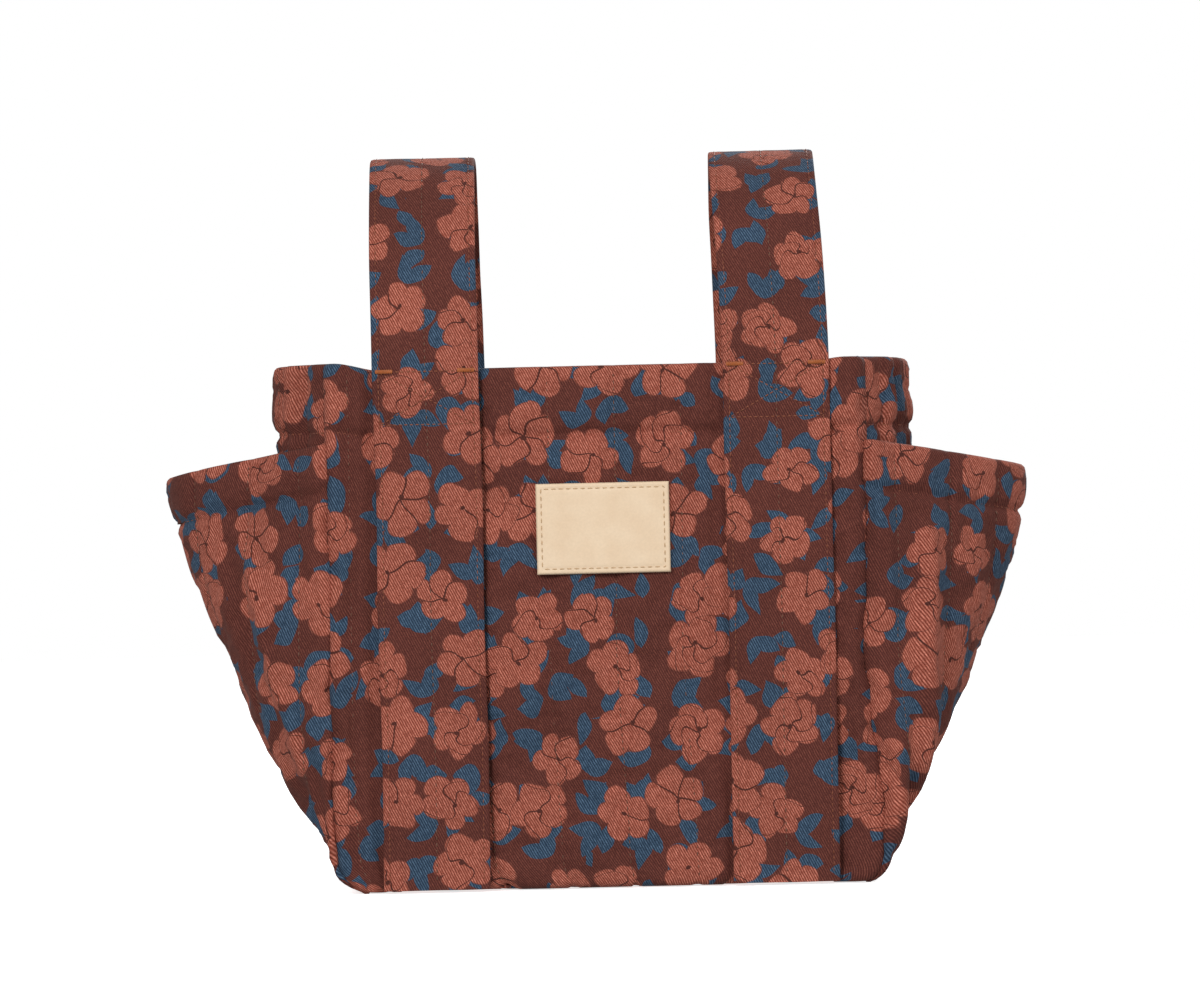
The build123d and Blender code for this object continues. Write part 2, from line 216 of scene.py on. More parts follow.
def printed_twill():
    """The cloth's material: it reads a UV map in metres, u across the warp and v along it."""
    material, add = new_material("printed_cotton_twill")
    cloth = add("UVMap", uv_map="cloth").outputs[0]
    noises = []
    for feature_size, detail in ((10.0, 0.0), (2.4, 2.0), (0.5, 1.0), (38.0, 5.0)):
        made = {"Vector": cloth, "Scale": 1 / (feature_size * MM), "Detail": detail}
        noises.append(add("TexNoise", made, noise_dimensions="2D"))
    wobble, fray, fibre, patch = noises

    # the drawing's hand-cut wobble
    centred = add("VectorMath", "SUBTRACT", wobble.outputs[1], (0.5, 0.5, 0.5))
    push = add("VectorMath", "SCALE", {0: centred, "Scale": 3.4 * MM})
    drawn = add("VectorMath", "ADD", cloth, push)

    # the print's cells: the offset from a cell's centre in metres, and the cell's chances
    cells = []
    for pitch, shift, feature, randomness in (
        (FLOWER_PITCH, (0.0, 0.0, 0.0), "F1", 0.66),
        (FLOWER_PITCH, (0.0, 0.0, 0.0), "F2", 0.66),
        (LEAF_PITCH, (0.137, 0.071, 0.0), "F1", 0.55),
        (LEAF_PITCH, (0.137, 0.071, 0.0), "F2", 0.55),
        (LEAF_PITCH, (0.319, 0.458, 0.0), "F1", 0.55),
    ):
        place = add("VectorMath", "ADD", drawn, shift)
        made = {"Vector": place, "Scale": 1 / (pitch * MM), "Randomness": randomness}
        cell = add("TexVoronoi", made, voronoi_dimensions="2D", feature=feature)
        offset = add("VectorMath", "SUBTRACT", place, cell.outputs["Position"])
        cells.append((offset, cell.outputs["Color"]))

    flowers = []
    for offset, chances in cells[:2]:
        unit = add("VectorMath", "SCALE", {0: offset, "Scale": 1 / (FLOWER_RADIUS * MM)})
        level = add("SeparateColor", chances).outputs[2]
        flowers.append((*printed_flower(add, unit, chances), level))
    (mask1, lines1, level1), (mask2, lines2, level2) = flowers
    second_on_top = add("Math", "GREATER_THAN", level2, level1)
    top_mask = add("Mix", {0: second_on_top, 2: mask1, 3: mask2})
    top_lines = add("Mix", {0: second_on_top, 2: lines1, 3: lines2})
    low_lines = add("Mix", {0: second_on_top, 2: lines2, 3: lines1})
    flower = add("Math", "MAXIMUM", mask1, mask2)
    lines = add("Mix", {0: top_mask, 2: low_lines, 3: top_lines})
    leaf = 0.0
    for (offset, chances), pair in zip(cells[2:], (True, True, False)):
        leaf = add("Math", "MAXIMUM", leaf, printed_leaves(add, offset, chances, pair))

    # the weave: ridges that run down to the right, broken up along their length
    turned = {"Vector": cloth, "Angle": -RIDGE_SLOPE}
    turned = add("VectorRotate", turned, rotation_type="Z_AXIS")
    across_ridges, along_ridges, _ = add("SeparateXYZ", turned).outputs
    fray = add("Math", "MULTIPLY", fray, 1.3)
    phase = add("Math", "MULTIPLY_ADD", across_ridges, math.tau / (RIDGE_PITCH * MM), fray)
    ridge = add("Math", "MULTIPLY_ADD", add("Math", "SINE", phase), 0.5, 0.5)
    stretched = add("CombineXYZ", add("Math", "MULTIPLY", along_ridges, 0.36), across_ridges)
    streak = {"Vector": stretched, "Scale": 1 / (0.7 * MM), "Detail": 2.0}
    streak = add("TexNoise", streak, noise_dimensions="2D")
    streak = add("Math", "MULTIPLY_ADD", streak, 2.4, -0.7, use_clamp=True)
    broken = add("Math", "MULTIPLY_ADD", streak, 0.7, 0.3)
    # thread: how much painted highlight each ridge gets, lightest on its crest
    thread = add("Math", "MULTIPLY", add("Math", "POWER", ridge, 1.5), broken)

    # each colour is mixed towards its painted highlight on the ridges; sockets 6 and 7 of a
    # mix of colours hold the two, and output 2 the result
    dye_and_ridge_highlight = []
    for low, high, strength in (
        (GROUND, GROUND_RIDGE_HIGHLIGHT, 0.7),
        (PETAL, PETAL_RIDGE_HIGHLIGHT, 0.95),
        (LEAF, LEAF_RIDGE_HIGHLIGHT, 0.85),
    ):
        share = add("Math", "MULTIPLY", thread, strength)
        made = add("Mix", {0: share, 6: linear(low), 7: linear(high)}, data_type="RGBA")
        dye_and_ridge_highlight.append(made.outputs[2])
    ground, petals, leaves = dye_and_ridge_highlight
    ink = add("Math", "MULTIPLY", lines, 0.92)
    petals = add("Mix", {0: ink, 6: petals, 7: linear(PRINTED_LINE)}, data_type="RGBA").outputs[2]
    colour = add("Mix", {0: leaf, 6: ground, 7: leaves}, data_type="RGBA").outputs[2]
    colour = add("Mix", {0: flower, 6: colour, 7: petals}, data_type="RGBA").outputs[2]

    # fibre ends, and patches where the dye took a little more or less
    patch = add("Math", "MULTIPLY_ADD", patch, 0.36, 0.82)
    value = add("Math", "ADD", patch, add("Math", "MULTIPLY_ADD", fibre, 0.9, -0.48))
    colour = add("HueSaturation", {"Value": value, "Color": colour})
    height = add("Math", "MULTIPLY_ADD", ridge, 0.7, add("Math", "MULTIPLY", fibre, 0.3))
    shader = add(
        "BsdfPrincipled",
        {
            "Base Color": colour,
            "Roughness": add("Math", "MULTIPLY_ADD", ridge, -0.08, 0.9),
            "Normal": add("Bump", {"Strength": 0.7, "Distance": 0.18 * MM, "Height": height}),
            "Specular IOR Level": 0.18,
            "Sheen Weight": 0.05,
            "Sheen Roughness": 0.5,
            "Sheen Tint": linear("#c9a497"),
        },
    )
    add("OutputMaterial", shader)
    return material


TWILL_PRINT = printed_twill()

# ---------------------------------------------------------------- the body's walls
# Four quilted walls of the printed twill over thin wadding, sewn together at the corners. They
# bow out towards the mouth, the quilting lines draw them into soft channels, and the stitching
# of the turned rim puckers them.

HALF_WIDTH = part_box("back_panel")[1].x / MM
HALF_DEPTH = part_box("back_panel")[1].y / MM
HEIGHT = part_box("rim_facing")[1].z / MM
HEM_SEAM_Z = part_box("rim_facing")[0].z / MM
SIDE_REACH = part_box("rim_facing")[1].x / MM - HALF_WIDTH
RIM_RADIUS = 2.4
CLOTH = 0.9
QUILT_PITCH = 25.0
FIRST_LINE = -17.8  # nearest quilting line left of the middle of the front
DEEPEST = 2.3  # no line of stitches draws the cloth in further than its wadding
FRAMES = 20  # of the cloth simulation


def smooth(low, high, value):
    """0 below low, 1 above high, eased between."""
    share = np.clip((value - low) / (high - low), 0, 1)
    return share * share * (3 - 2 * share)


def ruffle(points, size, seed, octaves=2):
    """Smooth noise of that feature size at each row of points, about -1 to 1."""
    flat = np.asarray(points, float).reshape(-1, 3) / size + seed * 17.31
    made = [noise.fractal(Vector(p), 1.0, 2.0, octaves) for p in flat]
    return np.array(made).reshape(np.shape(points)[:-1])


def spread(x, y, z):
    """A grid of points from coordinates that may each vary along one side of it only."""
    return np.stack(np.broadcast_arrays(x, y, z), -1)


def along_line(points):
    """The distance along a line of points from its first one."""
    return np.r_[0, np.cumsum(np.linalg.norm(np.diff(points, axis=0), axis=1))]


def along_rows(points):
    """The distance along each row of a grid of points from its first column."""
    steps = np.linalg.norm(np.diff(points, axis=1), axis=2)
    return np.concatenate([np.zeros((len(points), 1)), np.cumsum(steps, axis=1)], axis=1)


def outward(points):
    """Unit normals of a grid of points, across then up."""
    up, over = np.gradient(points, axis=(0, 1))
    normal = np.cross(over, up)
    return normal / np.maximum(np.linalg.norm(normal, axis=2, keepdims=True), 1e-9)


def laid_grid(points):
    """A bmesh grid laid on points in mm, and each vertex's row and column."""
    rows, columns = points.shape[0] - 1, points.shape[1] - 1
    bm = bmesh.new()
    middle = Matrix.Translation((0.5, 0.5, 0))
    bmesh.ops.create_grid(bm, x_segments=columns, y_segments=rows, size=0.5, matrix=middle)
    place = {vert: (round(vert.co.y * rows), round(vert.co.x * columns)) for vert in bm.verts}
    for vert, at in place.items():
        vert.co = points[at] * MM
    return bm, place


def fill_out(points, held, spare=0.02, pressure=4.0, cap=3.0):
    """Cloth simulation of a quilted wall: its fabric is cut a little larger than its wadding, is
    held along its seams, and fills out between them in creases. Returns points moved at most cap.
    """
    rows, columns = points.shape[:2]
    row = np.unique(np.r_[0 : rows - 1 : 2, rows - 1])
    column = np.unique(np.r_[0 : columns - 1 : 2, columns - 1])
    coarse, pins = points[np.ix_(row, column)], held[np.ix_(row, column)]
    pins[0], pins[-1], pins[:, 0], pins[:, -1] = 1, 1, 1, 1
    bm, place = laid_grid(coarse)
    bm.verts.index_update()
    where = [place[vert] for vert in bm.verts]
    mesh = bpy.data.meshes.new("swelling")
    bm.to_mesh(mesh)
    bm.free()
    sheet = bpy.data.objects.new("swelling", mesh)
    bpy.context.scene.collection.objects.link(sheet)
    seams = sheet.vertex_groups.new(name="seams")
    for index, at in enumerate(where):
        seams.add([index], float(pins[at]), "REPLACE")
    cloth = sheet.modifiers.new("cloth", "CLOTH")
    made = cloth.settings
    made.quality, made.mass, made.air_damping = 6, 0.25, 3.0
    made.tension_stiffness, made.compression_stiffness, made.shear_stiffness = 25.0, 25.0, 8.0
    made.bending_stiffness = 0.4
    made.vertex_group_mass = "seams"
    made.shrink_min = made.shrink_max = -spare
    made.use_pressure, made.uniform_pressure_force = True, pressure
    made.effector_weights.gravity = 0.0
    cloth.point_cache.frame_start, cloth.point_cache.frame_end = 1, FRAMES
    for frame_number in range(1, FRAMES + 1):
        bpy.context.scene.frame_set(frame_number)
    settled = sheet.evaluated_get(bpy.context.evaluated_depsgraph_get()).data
    moved = np.zeros_like(coarse)
    for index, at in enumerate(where):
        moved[at] = np.array(settled.vertices[index].co) / MM - coarse[at]
    bpy.data.objects.remove(sheet)
    bpy.data.meshes.remove(mesh)
    bpy.context.scene.frame_set(1)
    size = np.linalg.norm(moved, axis=2, keepdims=True)
    moved *= cap * np.tanh(size / cap) / np.maximum(size, 1e-9)
    # back from every other row and column to all of them
    tall = np.empty((rows, len(column), 3))
    full = np.empty((rows, columns, 3))
    for k in range(3):
        for c in range(len(column)):
            tall[:, c, k] = np.interp(np.arange(rows), row, moved[:, c, k])
        for r in range(rows):
            full[r, :, k] = np.interp(np.arange(columns), column, tall[r, :, k])
    return points + full


def make_cloth(name, points, u, v, thickness=CLOTH, material=TWILL_PRINT, wrap=False):
    """A sheet of cloth from a grid that is laid on points; u and v say where it was cut.

    A wrapped sheet closes on itself round a tube. With no thickness its two ends are closed too.
    """
    bm, place = laid_grid(points)
    layer = bm.loops.layers.uv.new("cloth")
    u, v = np.broadcast_to(u, points.shape[:2]), np.broadcast_to(v, points.shape[:2])
    for face in bm.faces:
        for loop in face.loops:
            at = place[loop.vert]
            loop[layer].uv = (u[at] * MM, v[at] * MM)
        face.smooth = True
    if wrap:
        bmesh.ops.remove_doubles(bm, verts=bm.verts, dist=0.02 * MM)
    if wrap and not thickness:
        ends = [edge for edge in bm.edges if edge.is_boundary]
        for edge in ends:
            edge.smooth = False
        for face in bmesh.ops.holes_fill(bm, edges=ends)["faces"]:
            for loop in face.loops:
                loop[layer].uv = (loop.vert.co.x, loop.vert.co.y + loop.vert.co.z)
    mesh = bpy.data.meshes.new(name)
    bm.to_mesh(mesh)
    bm.free()
    piece = bpy.data.objects.new(name, mesh)
    bpy.context.scene.collection.objects.link(piece)
    piece.data.materials.append(material)
    if thickness:
        wall = piece.modifiers.new("thickness", "SOLIDIFY")
        wall.thickness = thickness * MM
        wall.offset = -1.0
        wall.use_even_offset = False
    return piece


def sewn_in(piece, slot, *nodes, fill=None):
    """Sews a piece of cloth to the bag in place of CAD nodes; the fill is not used."""
    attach(piece, "bag")
    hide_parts(*nodes)


def channel(u, first=FIRST_LINE, pitch=QUILT_PITCH):
    """Distance from the nearest quilting line, and 0 on a line to 1 midway."""
    gap = np.abs((u - first + pitch / 2) % pitch - pitch / 2)
    return gap, np.sqrt(np.clip(1 - (1 - gap / (pitch / 2)) ** 2, 0, 1))


def pucker(along, across, strength, reach=5.0, pitch=6.5, seed=0):
    """Small gathers that a line of stitches makes across itself."""
    wobble = ruffle(np.stack([along, along * 0, along * 0 + seed], -1), 11.0, seed)
    gathers = np.sin(along * math.tau / pitch + 2.2 * wobble) * (0.6 + 0.6 * wobble)
    return strength * gathers * np.exp(-((across / reach) ** 2))


def wall_relief(u, v, hem, seed, lines=FIRST_LINE, full=1.5, groove=2.3):
    """How far a quilted wall stands off its plain surface, in mm."""
    gap, crown = channel(u, lines)
    relief = full * (crown - 0.45) - 0.7 * np.exp(-((gap / 1.1) ** 2))
    from_hem = v - hem
    relief -= groove * np.exp(-((from_hem / 1.7) ** 2))
    relief += 0.9 * smooth(0, 9, from_hem) + 0.5 * np.exp(-((from_hem + 7) / 5) ** 2)
    relief += pucker(u, from_hem, 0.8, 6.0, 7.0, seed)
    relief += pucker(v, gap, 0.36, 4.5, 5.5, seed + 3)
    spot = np.stack([u, v * 0.55, u * 0 + seed * 40], -1)
    relief += 1.1 * ruffle(spot, 34.0, seed) + 0.45 * ruffle(spot, 9.0, seed + 1)
    return np.where(relief < 0, -DEEPEST * np.tanh(-relief / DEEPEST), relief)


def turn_over(edge, out, start, end, rows, drop=0.0):
    """Rows of points that carry an edge over a round rim, from one angle to another, and down."""
    made = []
    up = np.array([0.0, 0.0, 1.0])
    for angle in np.linspace(start, end, rows):
        raised = edge + up * RIM_RADIUS * math.sin(angle)
        made.append(raised - out * RIM_RADIUS * (1 - math.cos(angle)))
    for fall in np.linspace(0, drop, 1 + round(drop / 2.0))[1:]:
        made.append(edge - out * 2 * RIM_RADIUS - up * fall)
    return np.array(made)


def roll_under(z, radius=3.4):
    """How far a wall curls in towards the base at a height."""
    share = np.clip(1 - z / radius, 0, 1)
    return radius * (1 - np.sqrt(np.clip(1 - share**2, 0, 1)))


CORNER_RADIUS, BACK_HALF_WIDTH = 8.0, 101.8
SEAM_SETBACK = 3.0  # how far the side walls' seams lie behind the front's face


def seam_x(z, side):
    """The x of the seam between the front and a side, which wanders as the bag slumps."""
    if side > 0:
        heights = [0, 9, 25, 48, 70, 89, 123, 168, 196]
        places = [101.5, 103.0, 103.6, 101.8, 99.6, 98.2, 99.2, 99.8, 99.8]
    else:
        heights = [0, 12, 30, 55, 112, 160, 196]
        places = [102, 103, 104.5, 104.8, 104.3, 104, 104]
    corner = CORNER_RADIUS + (4.5 if side < 0 else -1.5)
    return side * (np.interp(z, heights, places) - roll_under(z, corner))


def wall_heights(top, spacing=1.6):
    """The heights of a wall's rows: close together at the base and round the hem's seam."""
    return np.linspace(0.3, top, round(top / spacing) + 1)


def belly(x, z):
    """How far the front and back stand out between their edges, in mm."""
    up = np.sin(np.clip(z / HEIGHT, 0, 1) * math.pi)
    return 2.0 * np.cos(x / HALF_WIDTH * math.pi / 2) * up


def front_or_back(side, spacing=1.6):
    """The plain front (side -1) or back (side 1) wall, as points with their cloth places."""
    z = wall_heights(HEIGHT - RIM_RADIUS, spacing)
    across = np.linspace(0, 1, round(2 * HALF_WIDTH / spacing) + 1)
    low, high = seam_x(z, -1), seam_x(z, 1)
    if side > 0:
        high = BACK_HALF_WIDTH - roll_under(z, CORNER_RADIUS)
        low = -high
    share = across if side < 0 else 1 - across
    x = low[:, None] + (high - low)[:, None] * share
    u = -HALF_WIDTH + 2 * HALF_WIDTH * share + 0 * x
    v = z[:, None] + 0 * x
    edge_gap = HALF_WIDTH - np.abs(u)
    corner = 3.6 * (1 - np.sqrt(np.clip(1 - np.clip(1 - edge_gap / 4.0, 0, 1) ** 2, 0, 1)))
    y = side * (HALF_DEPTH + belly(x, v) - corner - roll_under(v))
    return spread(x, y, v), u, v


def side_bow(z, side):
    """How far the middle of a side wall stands out beyond its seams at a height, in mm."""
    if side < 0:
        lean = np.interp(z, [130, 160, 176, 185, 200], [0.0, 4.0, 4.6, 2.6, 2.2])
    else:
        lean = np.interp(z, [130, 162, 176, 184, 200], [0.0, 1.8, 1.2, -1.4, -1.8])
    return 1 + (SIDE_REACH - 1) * z / HEIGHT + lean


def side_wall(side, spacing=1.6):
    """The plain left (side -1) or right (side 1) wall, from its front seam to its back one."""
    z = wall_heights(HEIGHT - RIM_RADIUS, spacing)
    share = np.linspace(0, 1, round(2 * HALF_DEPTH / spacing) + 1)
    front = np.abs(seam_x(z, side))[:, None]
    back = (BACK_HALF_WIDTH - roll_under(z, CORNER_RADIUS))[:, None]
    seam = front + (back - front) * smooth(0.25, 0.75, share)
    bow = side_bow(z, side)[:, None]
    x = side * (seam - 2.0 + (bow + 2.0) * np.clip(np.sin(share * math.pi), 0, 1) ** 0.62)
    points = spread(x, (HALF_DEPTH - SEAM_SETBACK) * (2 * share - 1), z[:, None])
    if side < 0:
        points = points[:, ::-1]
    u = along_rows(points) - along_rows(points)[:, -1:] / 2
    return points, u, points[..., 2]


def rise(x, z):
    """How much higher the rim's ends stand in the filled bag, in mm."""
    left = 3.0 * smooth(-82, -100, x) * smooth(90, HEIGHT, z)
    return left + 1.2 * smooth(80, 92, x) * smooth(120, HEIGHT, z)


def slump(points):
    """Lets a wall settle: its ends rise towards the rim, and it keeps off the floor."""
    x, z = points[..., 0], points[..., 2]
    points[..., 2] = np.maximum(z + rise(x, z), 0.2)
    return points


def corner_gathers(side, v, y):
    """The folds that gather at the rim's front corner on a side wall."""
    near_front = np.exp(-(((y + 38) / 17) ** 2))
    pitch, start = (17.0, 0.6) if side < 0 else (19.0, 2.4)
    folds = np.sin((y + 60) * math.tau / pitch + start)
    return 2.6 * folds * near_front * smooth(140, 182, v)


BAND_MIDDLE, BAND_HALF = 65.0, 20.0  # where the straps' bands are sewn over the walls
WALLS = {}
for name, side, hidden in (
    ("front", -1, ["front_panel", "front_wadding"]),
    ("back", 1, ["back_panel", "back_wadding"]),
    ("left_side", -1, ["left_side_panel", "left_side_wadding"]),
    ("right_side", 1, ["right_side_panel", "right_side_wadding"]),
):
    flat = name in ("front", "back")
    seed = 1 + len(WALLS)
    points, u, v = (front_or_back if flat else side_wall)(side)
    relief = wall_relief(
        u, v, HEM_SEAM_Z, seed, FIRST_LINE if flat else 0.0, groove=2.3 if flat else 1.5
    )
    if flat:
        half = HALF_WIDTH - np.abs(u)
        relief *= smooth(0, 5, half)
        relief += 1.3 * np.exp(-(((half - 6.0) / 3.6) ** 2)) * smooth(185, 165, v)
        beside = np.abs(np.abs(u) - BAND_MIDDLE) - BAND_HALF
        relief -= 1.9 * np.exp(-(((beside - 0.4) / 1.7) ** 2))
        relief = np.where(beside < 0.5, np.minimum(relief, -0.2), relief)
    else:
        y = points[..., 1]
        relief *= smooth(0, 0.07, 0.5 - np.abs(y) / (2 * HALF_DEPTH - 2 * SEAM_SETBACK))
        relief += corner_gathers(side, v, y)
    relief = np.maximum(relief, -DEEPEST)
    normal = outward(points)
    points = points + normal * relief[..., None]
    gap, _ = channel(u, FIRST_LINE if flat else 0.0)
    held = (gap < 1.7) | (np.abs(v - HEM_SEAM_Z) < 1.7) | (v < 4)
    if flat:
        held |= np.abs(np.abs(u) - BAND_MIDDLE) < BAND_HALF + 2.5
    points = slump(fill_out(points, held.astype(float)))
    out = normal[-1] * [1, 1, 0]
    out /= np.linalg.norm(out, axis=1, keepdims=True)
    rim = turn_over(points[-1], out, 0, math.pi / 2, 4)[1:]
    skin = np.concatenate([points, rim])
    rim_v = v[-1] + RIM_RADIUS * np.linspace(0, math.pi / 2, 4)[1:, None]
    cut_u = np.concatenate([u, np.repeat(u[-1:], 3, axis=0)])
    cut_v = np.concatenate([v, rim_v])
    shift, lift = seed * 137.0, seed * 31.0  # each piece is cut from its own part of the print
    quilt = make_cloth(f"{name}_quilt", skin, cut_u + shift, cut_v + lift)
    sewn_in(quilt, "printed_twill", *hidden, fill=0.35)
    WALLS[name] = dict(points=points, u=u, v=v, out=out, shift=shift, lift=lift)

# ---------------------------------------------------------------- the turned rim
# The walls' twill is folded over the rim and stitched down inside the mouth: one band that runs
# all the way round.

band = {"points": [], "u": [], "v": []}
for name in ("front", "right_side", "back", "left_side"):
    wall = WALLS[name]
    edge, out = wall["points"][-1], wall["out"]
    fold = turn_over(edge, out, math.pi / 2, math.pi, 5, drop=HEIGHT - HEM_SEAM_Z - RIM_RADIUS)
    depth = np.arange(len(fold))[:, None] / len(fold)
    swell = ruffle(edge * [1, 1, 0] + depth[..., None] * 20.0, 16.0, 9)
    fold = fold - out * (0.5 * swell * np.minimum(1, 3 * depth))[..., None]
    far = along_line(fold[:, 5])[:, None]
    band["points"].append(fold)
    band["u"].append(np.repeat(wall["u"][-1:], len(fold), axis=0) + wall["shift"])
    band["v"].append(HEIGHT + wall["lift"] + 1.5 + far + 0 * band["u"][-1])
closed = [np.concatenate([*parts, parts[0][:, :1]], axis=1) for parts in band.values()]
sewn_in(make_cloth("rim_hem", *closed, wrap=True), "printed_twill", "rim_facing")

# ---------------------------------------------------------------- the side pockets
# One flared patch of quilted twill on each side, sewn to the front and back edges of the bag and
# into its base, with a dart down the middle. Its mouth is turned in and stitched like the rim,
# and the cloth breaks into a long soft fold towards the base.

POCKET_TOP_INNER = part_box("right_pocket_facing")[1].z / MM
POCKET_TOP_OUTER = POCKET_TOP_INNER - 10.0
POCKET_HEM = 18.0
POCKET_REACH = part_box("right_pocket_panel")[1].x / MM
POCKET_SEAM_X = 102.2

# heights; then the outer face's half-width and half-depth, and the fold's x and y on each side
POCKET_SHAPE = {
    "z": [0.5, 3, 8, 24, 44, 65, 88, 106, 125, 138, 157, 168],
    "right_reach": [92, 96.6, 101.2, 107.2, 121, 132.4, 141.2, 148.8, 156.8, 160.4, 162.6, 163.2],
    "left_reach": [86.5, 91.2, 98.6, 110, 123.6, 134.9, 143.6, 151.8, 159.6, 163.6, 167, 167.6],
    "depth": [54, 54, 53, 49, 43, 37, 32, 28, 23, 20.5, 19, 18.5],
    "left_fold": [90.5, 94.5, 99, 103.5, 108, 114.5, 122.5, 129, 133, 135, 136, 136],
    "left_fold_y": [57, 58.5, 59.5, 60.0, 59.0, 57.0, 53.0, 48.0, 42.5, 39.0, 37.0, 36.5],
    "right_fold": [99, 101, 103, 107.6, 113.5, 115.5, 116.5, 117.5, 121, 126, 130, 131],
    "right_fold_y": [57, 58.5, 59.5, 60.0, 60.0, 59.5, 58.0, 55.5, 51.5, 47.0, 43.0, 42.0],
}


def smooth_line(knots, count):
    """A curve through the knots (a centripetal Catmull-Rom line), as evenly spaced points."""
    knots = np.asarray(knots, float)
    ends = np.concatenate([[2 * knots[0] - knots[1]], knots, [2 * knots[-1] - knots[-2]]])
    pieces = []
    for p0, p1, p2, p3 in zip(ends, ends[1:], ends[2:], ends[3:]):
        t0 = 0.0
        t1 = t0 + np.linalg.norm(p1 - p0) ** 0.5
        t2 = t1 + np.linalg.norm(p2 - p1) ** 0.5
        t3 = t2 + np.linalg.norm(p3 - p2) ** 0.5
        t = np.linspace(t1, t2, 24, endpoint=False)[:, None]
        a1 = (t1 - t) / (t1 - t0) * p0 + (t - t0) / (t1 - t0) * p1
        a2 = (t2 - t) / (t2 - t1) * p1 + (t - t1) / (t2 - t1) * p2
        a3 = (t3 - t) / (t3 - t2) * p2 + (t - t2) / (t3 - t2) * p3
        b1 = (t2 - t) / (t2 - t0) * a1 + (t - t0) / (t2 - t0) * a2
        b2 = (t3 - t) / (t3 - t1) * a2 + (t - t1) / (t3 - t1) * a3
        pieces.append((t2 - t) / (t2 - t1) * b1 + (t - t1) / (t2 - t1) * b2)
    line = np.concatenate([*pieces, knots[-1:]])
    far = along_line(line)
    even = np.linspace(0, far[-1], count)
    return np.stack([np.interp(even, far, line[:, k]) for k in range(line.shape[1])], -1)


def pocket_surface(side, columns=112, spacing=1.7):
    """The plain pocket as if it were on the right.

    Returns its points, the cloth's u counted from the front seam and from the back one, their
    heights, and the height of the mouth at each column.
    """
    shape = {key: np.array(values, float) for key, values in POCKET_SHAPE.items()}
    fold = "right_fold" if side > 0 else "left_fold"
    reach = "right_reach" if side > 0 else "left_reach"
    levels = []
    for k, z in enumerate(shape["z"]):
        seam = abs(float(seam_x(z, side)))
        tip, depth = shape[reach][k], shape["depth"][k]
        fx, fy = max(shape[fold][k], seam + 0.5), shape[fold + "_y"][k]
        room = max(tip - fx, 1.5)
        back = BACK_HALF_WIDTH - float(roll_under(z, CORNER_RADIUS))
        front = [
            (seam - 2.4, -57.0),
            (seam - 0.4, -59.4),
            ((seam + fx) / 2 + 0.6, -(59.9 + fy) / 2 - 0.5),
            (fx, -fy),
            (fx + 0.45 * room, -(0.52 * fy + 0.48 * depth) - 0.5),
            (tip - 0.22 * room, -depth - 2.0),
            (tip - 0.03 * room, -0.55 * depth),
        ]
        back = [
            (tip - 0.03 * room, 0.55 * depth),
            (tip - 0.22 * room, depth + 2.0),
            ((tip + back) / 2, (depth + 60) / 2 + 2.0),
            (back + 0.8, 59.6),
            (back - 2.2, 57.2),
        ]
        levels.append(smooth_line([*front, (tip, 0), *back], columns + 1))
    levels = np.array(levels)
    fall = (POCKET_TOP_INNER - POCKET_TOP_OUTER) / (POCKET_REACH - POCKET_SEAM_X)
    out_x = np.clip(levels[-1][:, 0] - POCKET_SEAM_X, 0, None)
    top = POCKET_TOP_INNER - fall * out_x - RIM_RADIUS
    rows = round(POCKET_TOP_INNER / spacing)
    up = np.linspace(0, 1, rows + 1)
    z = 0.5 + (top[None] - 0.5) * up[:, None]
    # between levels the surface follows a smooth line up each column
    points = np.empty((rows + 1, columns + 1, 3))
    for c in range(columns + 1):
        column = smooth_line(np.column_stack([levels[:, c], shape["z"]]), 140)
        points[:, c, 0] = np.interp(z[:, c], column[:, 2], column[:, 0])
        points[:, c, 1] = np.interp(z[:, c], column[:, 2], column[:, 1])
    points[..., 2] = z
    u_front = along_rows(points)
    length = u_front[:, -1:]
    return points, u_front, length[-1] - (length - u_front), z, top


def pocket_folds(side, u, z):
    """The soft folds that the slumped cloth makes in front, in mm."""
    if side > 0:
        valley = np.interp(z, [0, 20, 60, 100, 130], [15.0, 16.0, 19.0, 20.0, 21.0])
        deep = smooth(150, 112, z) * smooth(2, 20, z)
        relief = -2.4 * deep * np.exp(-(((u - valley) / 3.2) ** 2))
        relief += 2.4 * deep * np.exp(-(((u - valley + 8.5) / 5.0) ** 2))
        relief += 3.2 * deep * np.exp(-(((u - valley - 8.0) / 4.5) ** 2))
        return relief
    line = np.interp(z, [10, 60, 115, 135], [3.0, 20.0, 36.0, 42.0])
    deep = smooth(140, 112, z) * smooth(6, 22, z)
    relief = 1.8 * deep * np.exp(-(((u - line) / 3.0) ** 2))
    relief -= 2.0 * deep * np.exp(-(((u - line - 8.0) / 4.5) ** 2))
    return relief


def pocket_rise(z):
    """How much higher the left pocket stands than the right one, in mm."""
    return 3.4 * smooth(60, 165, z)


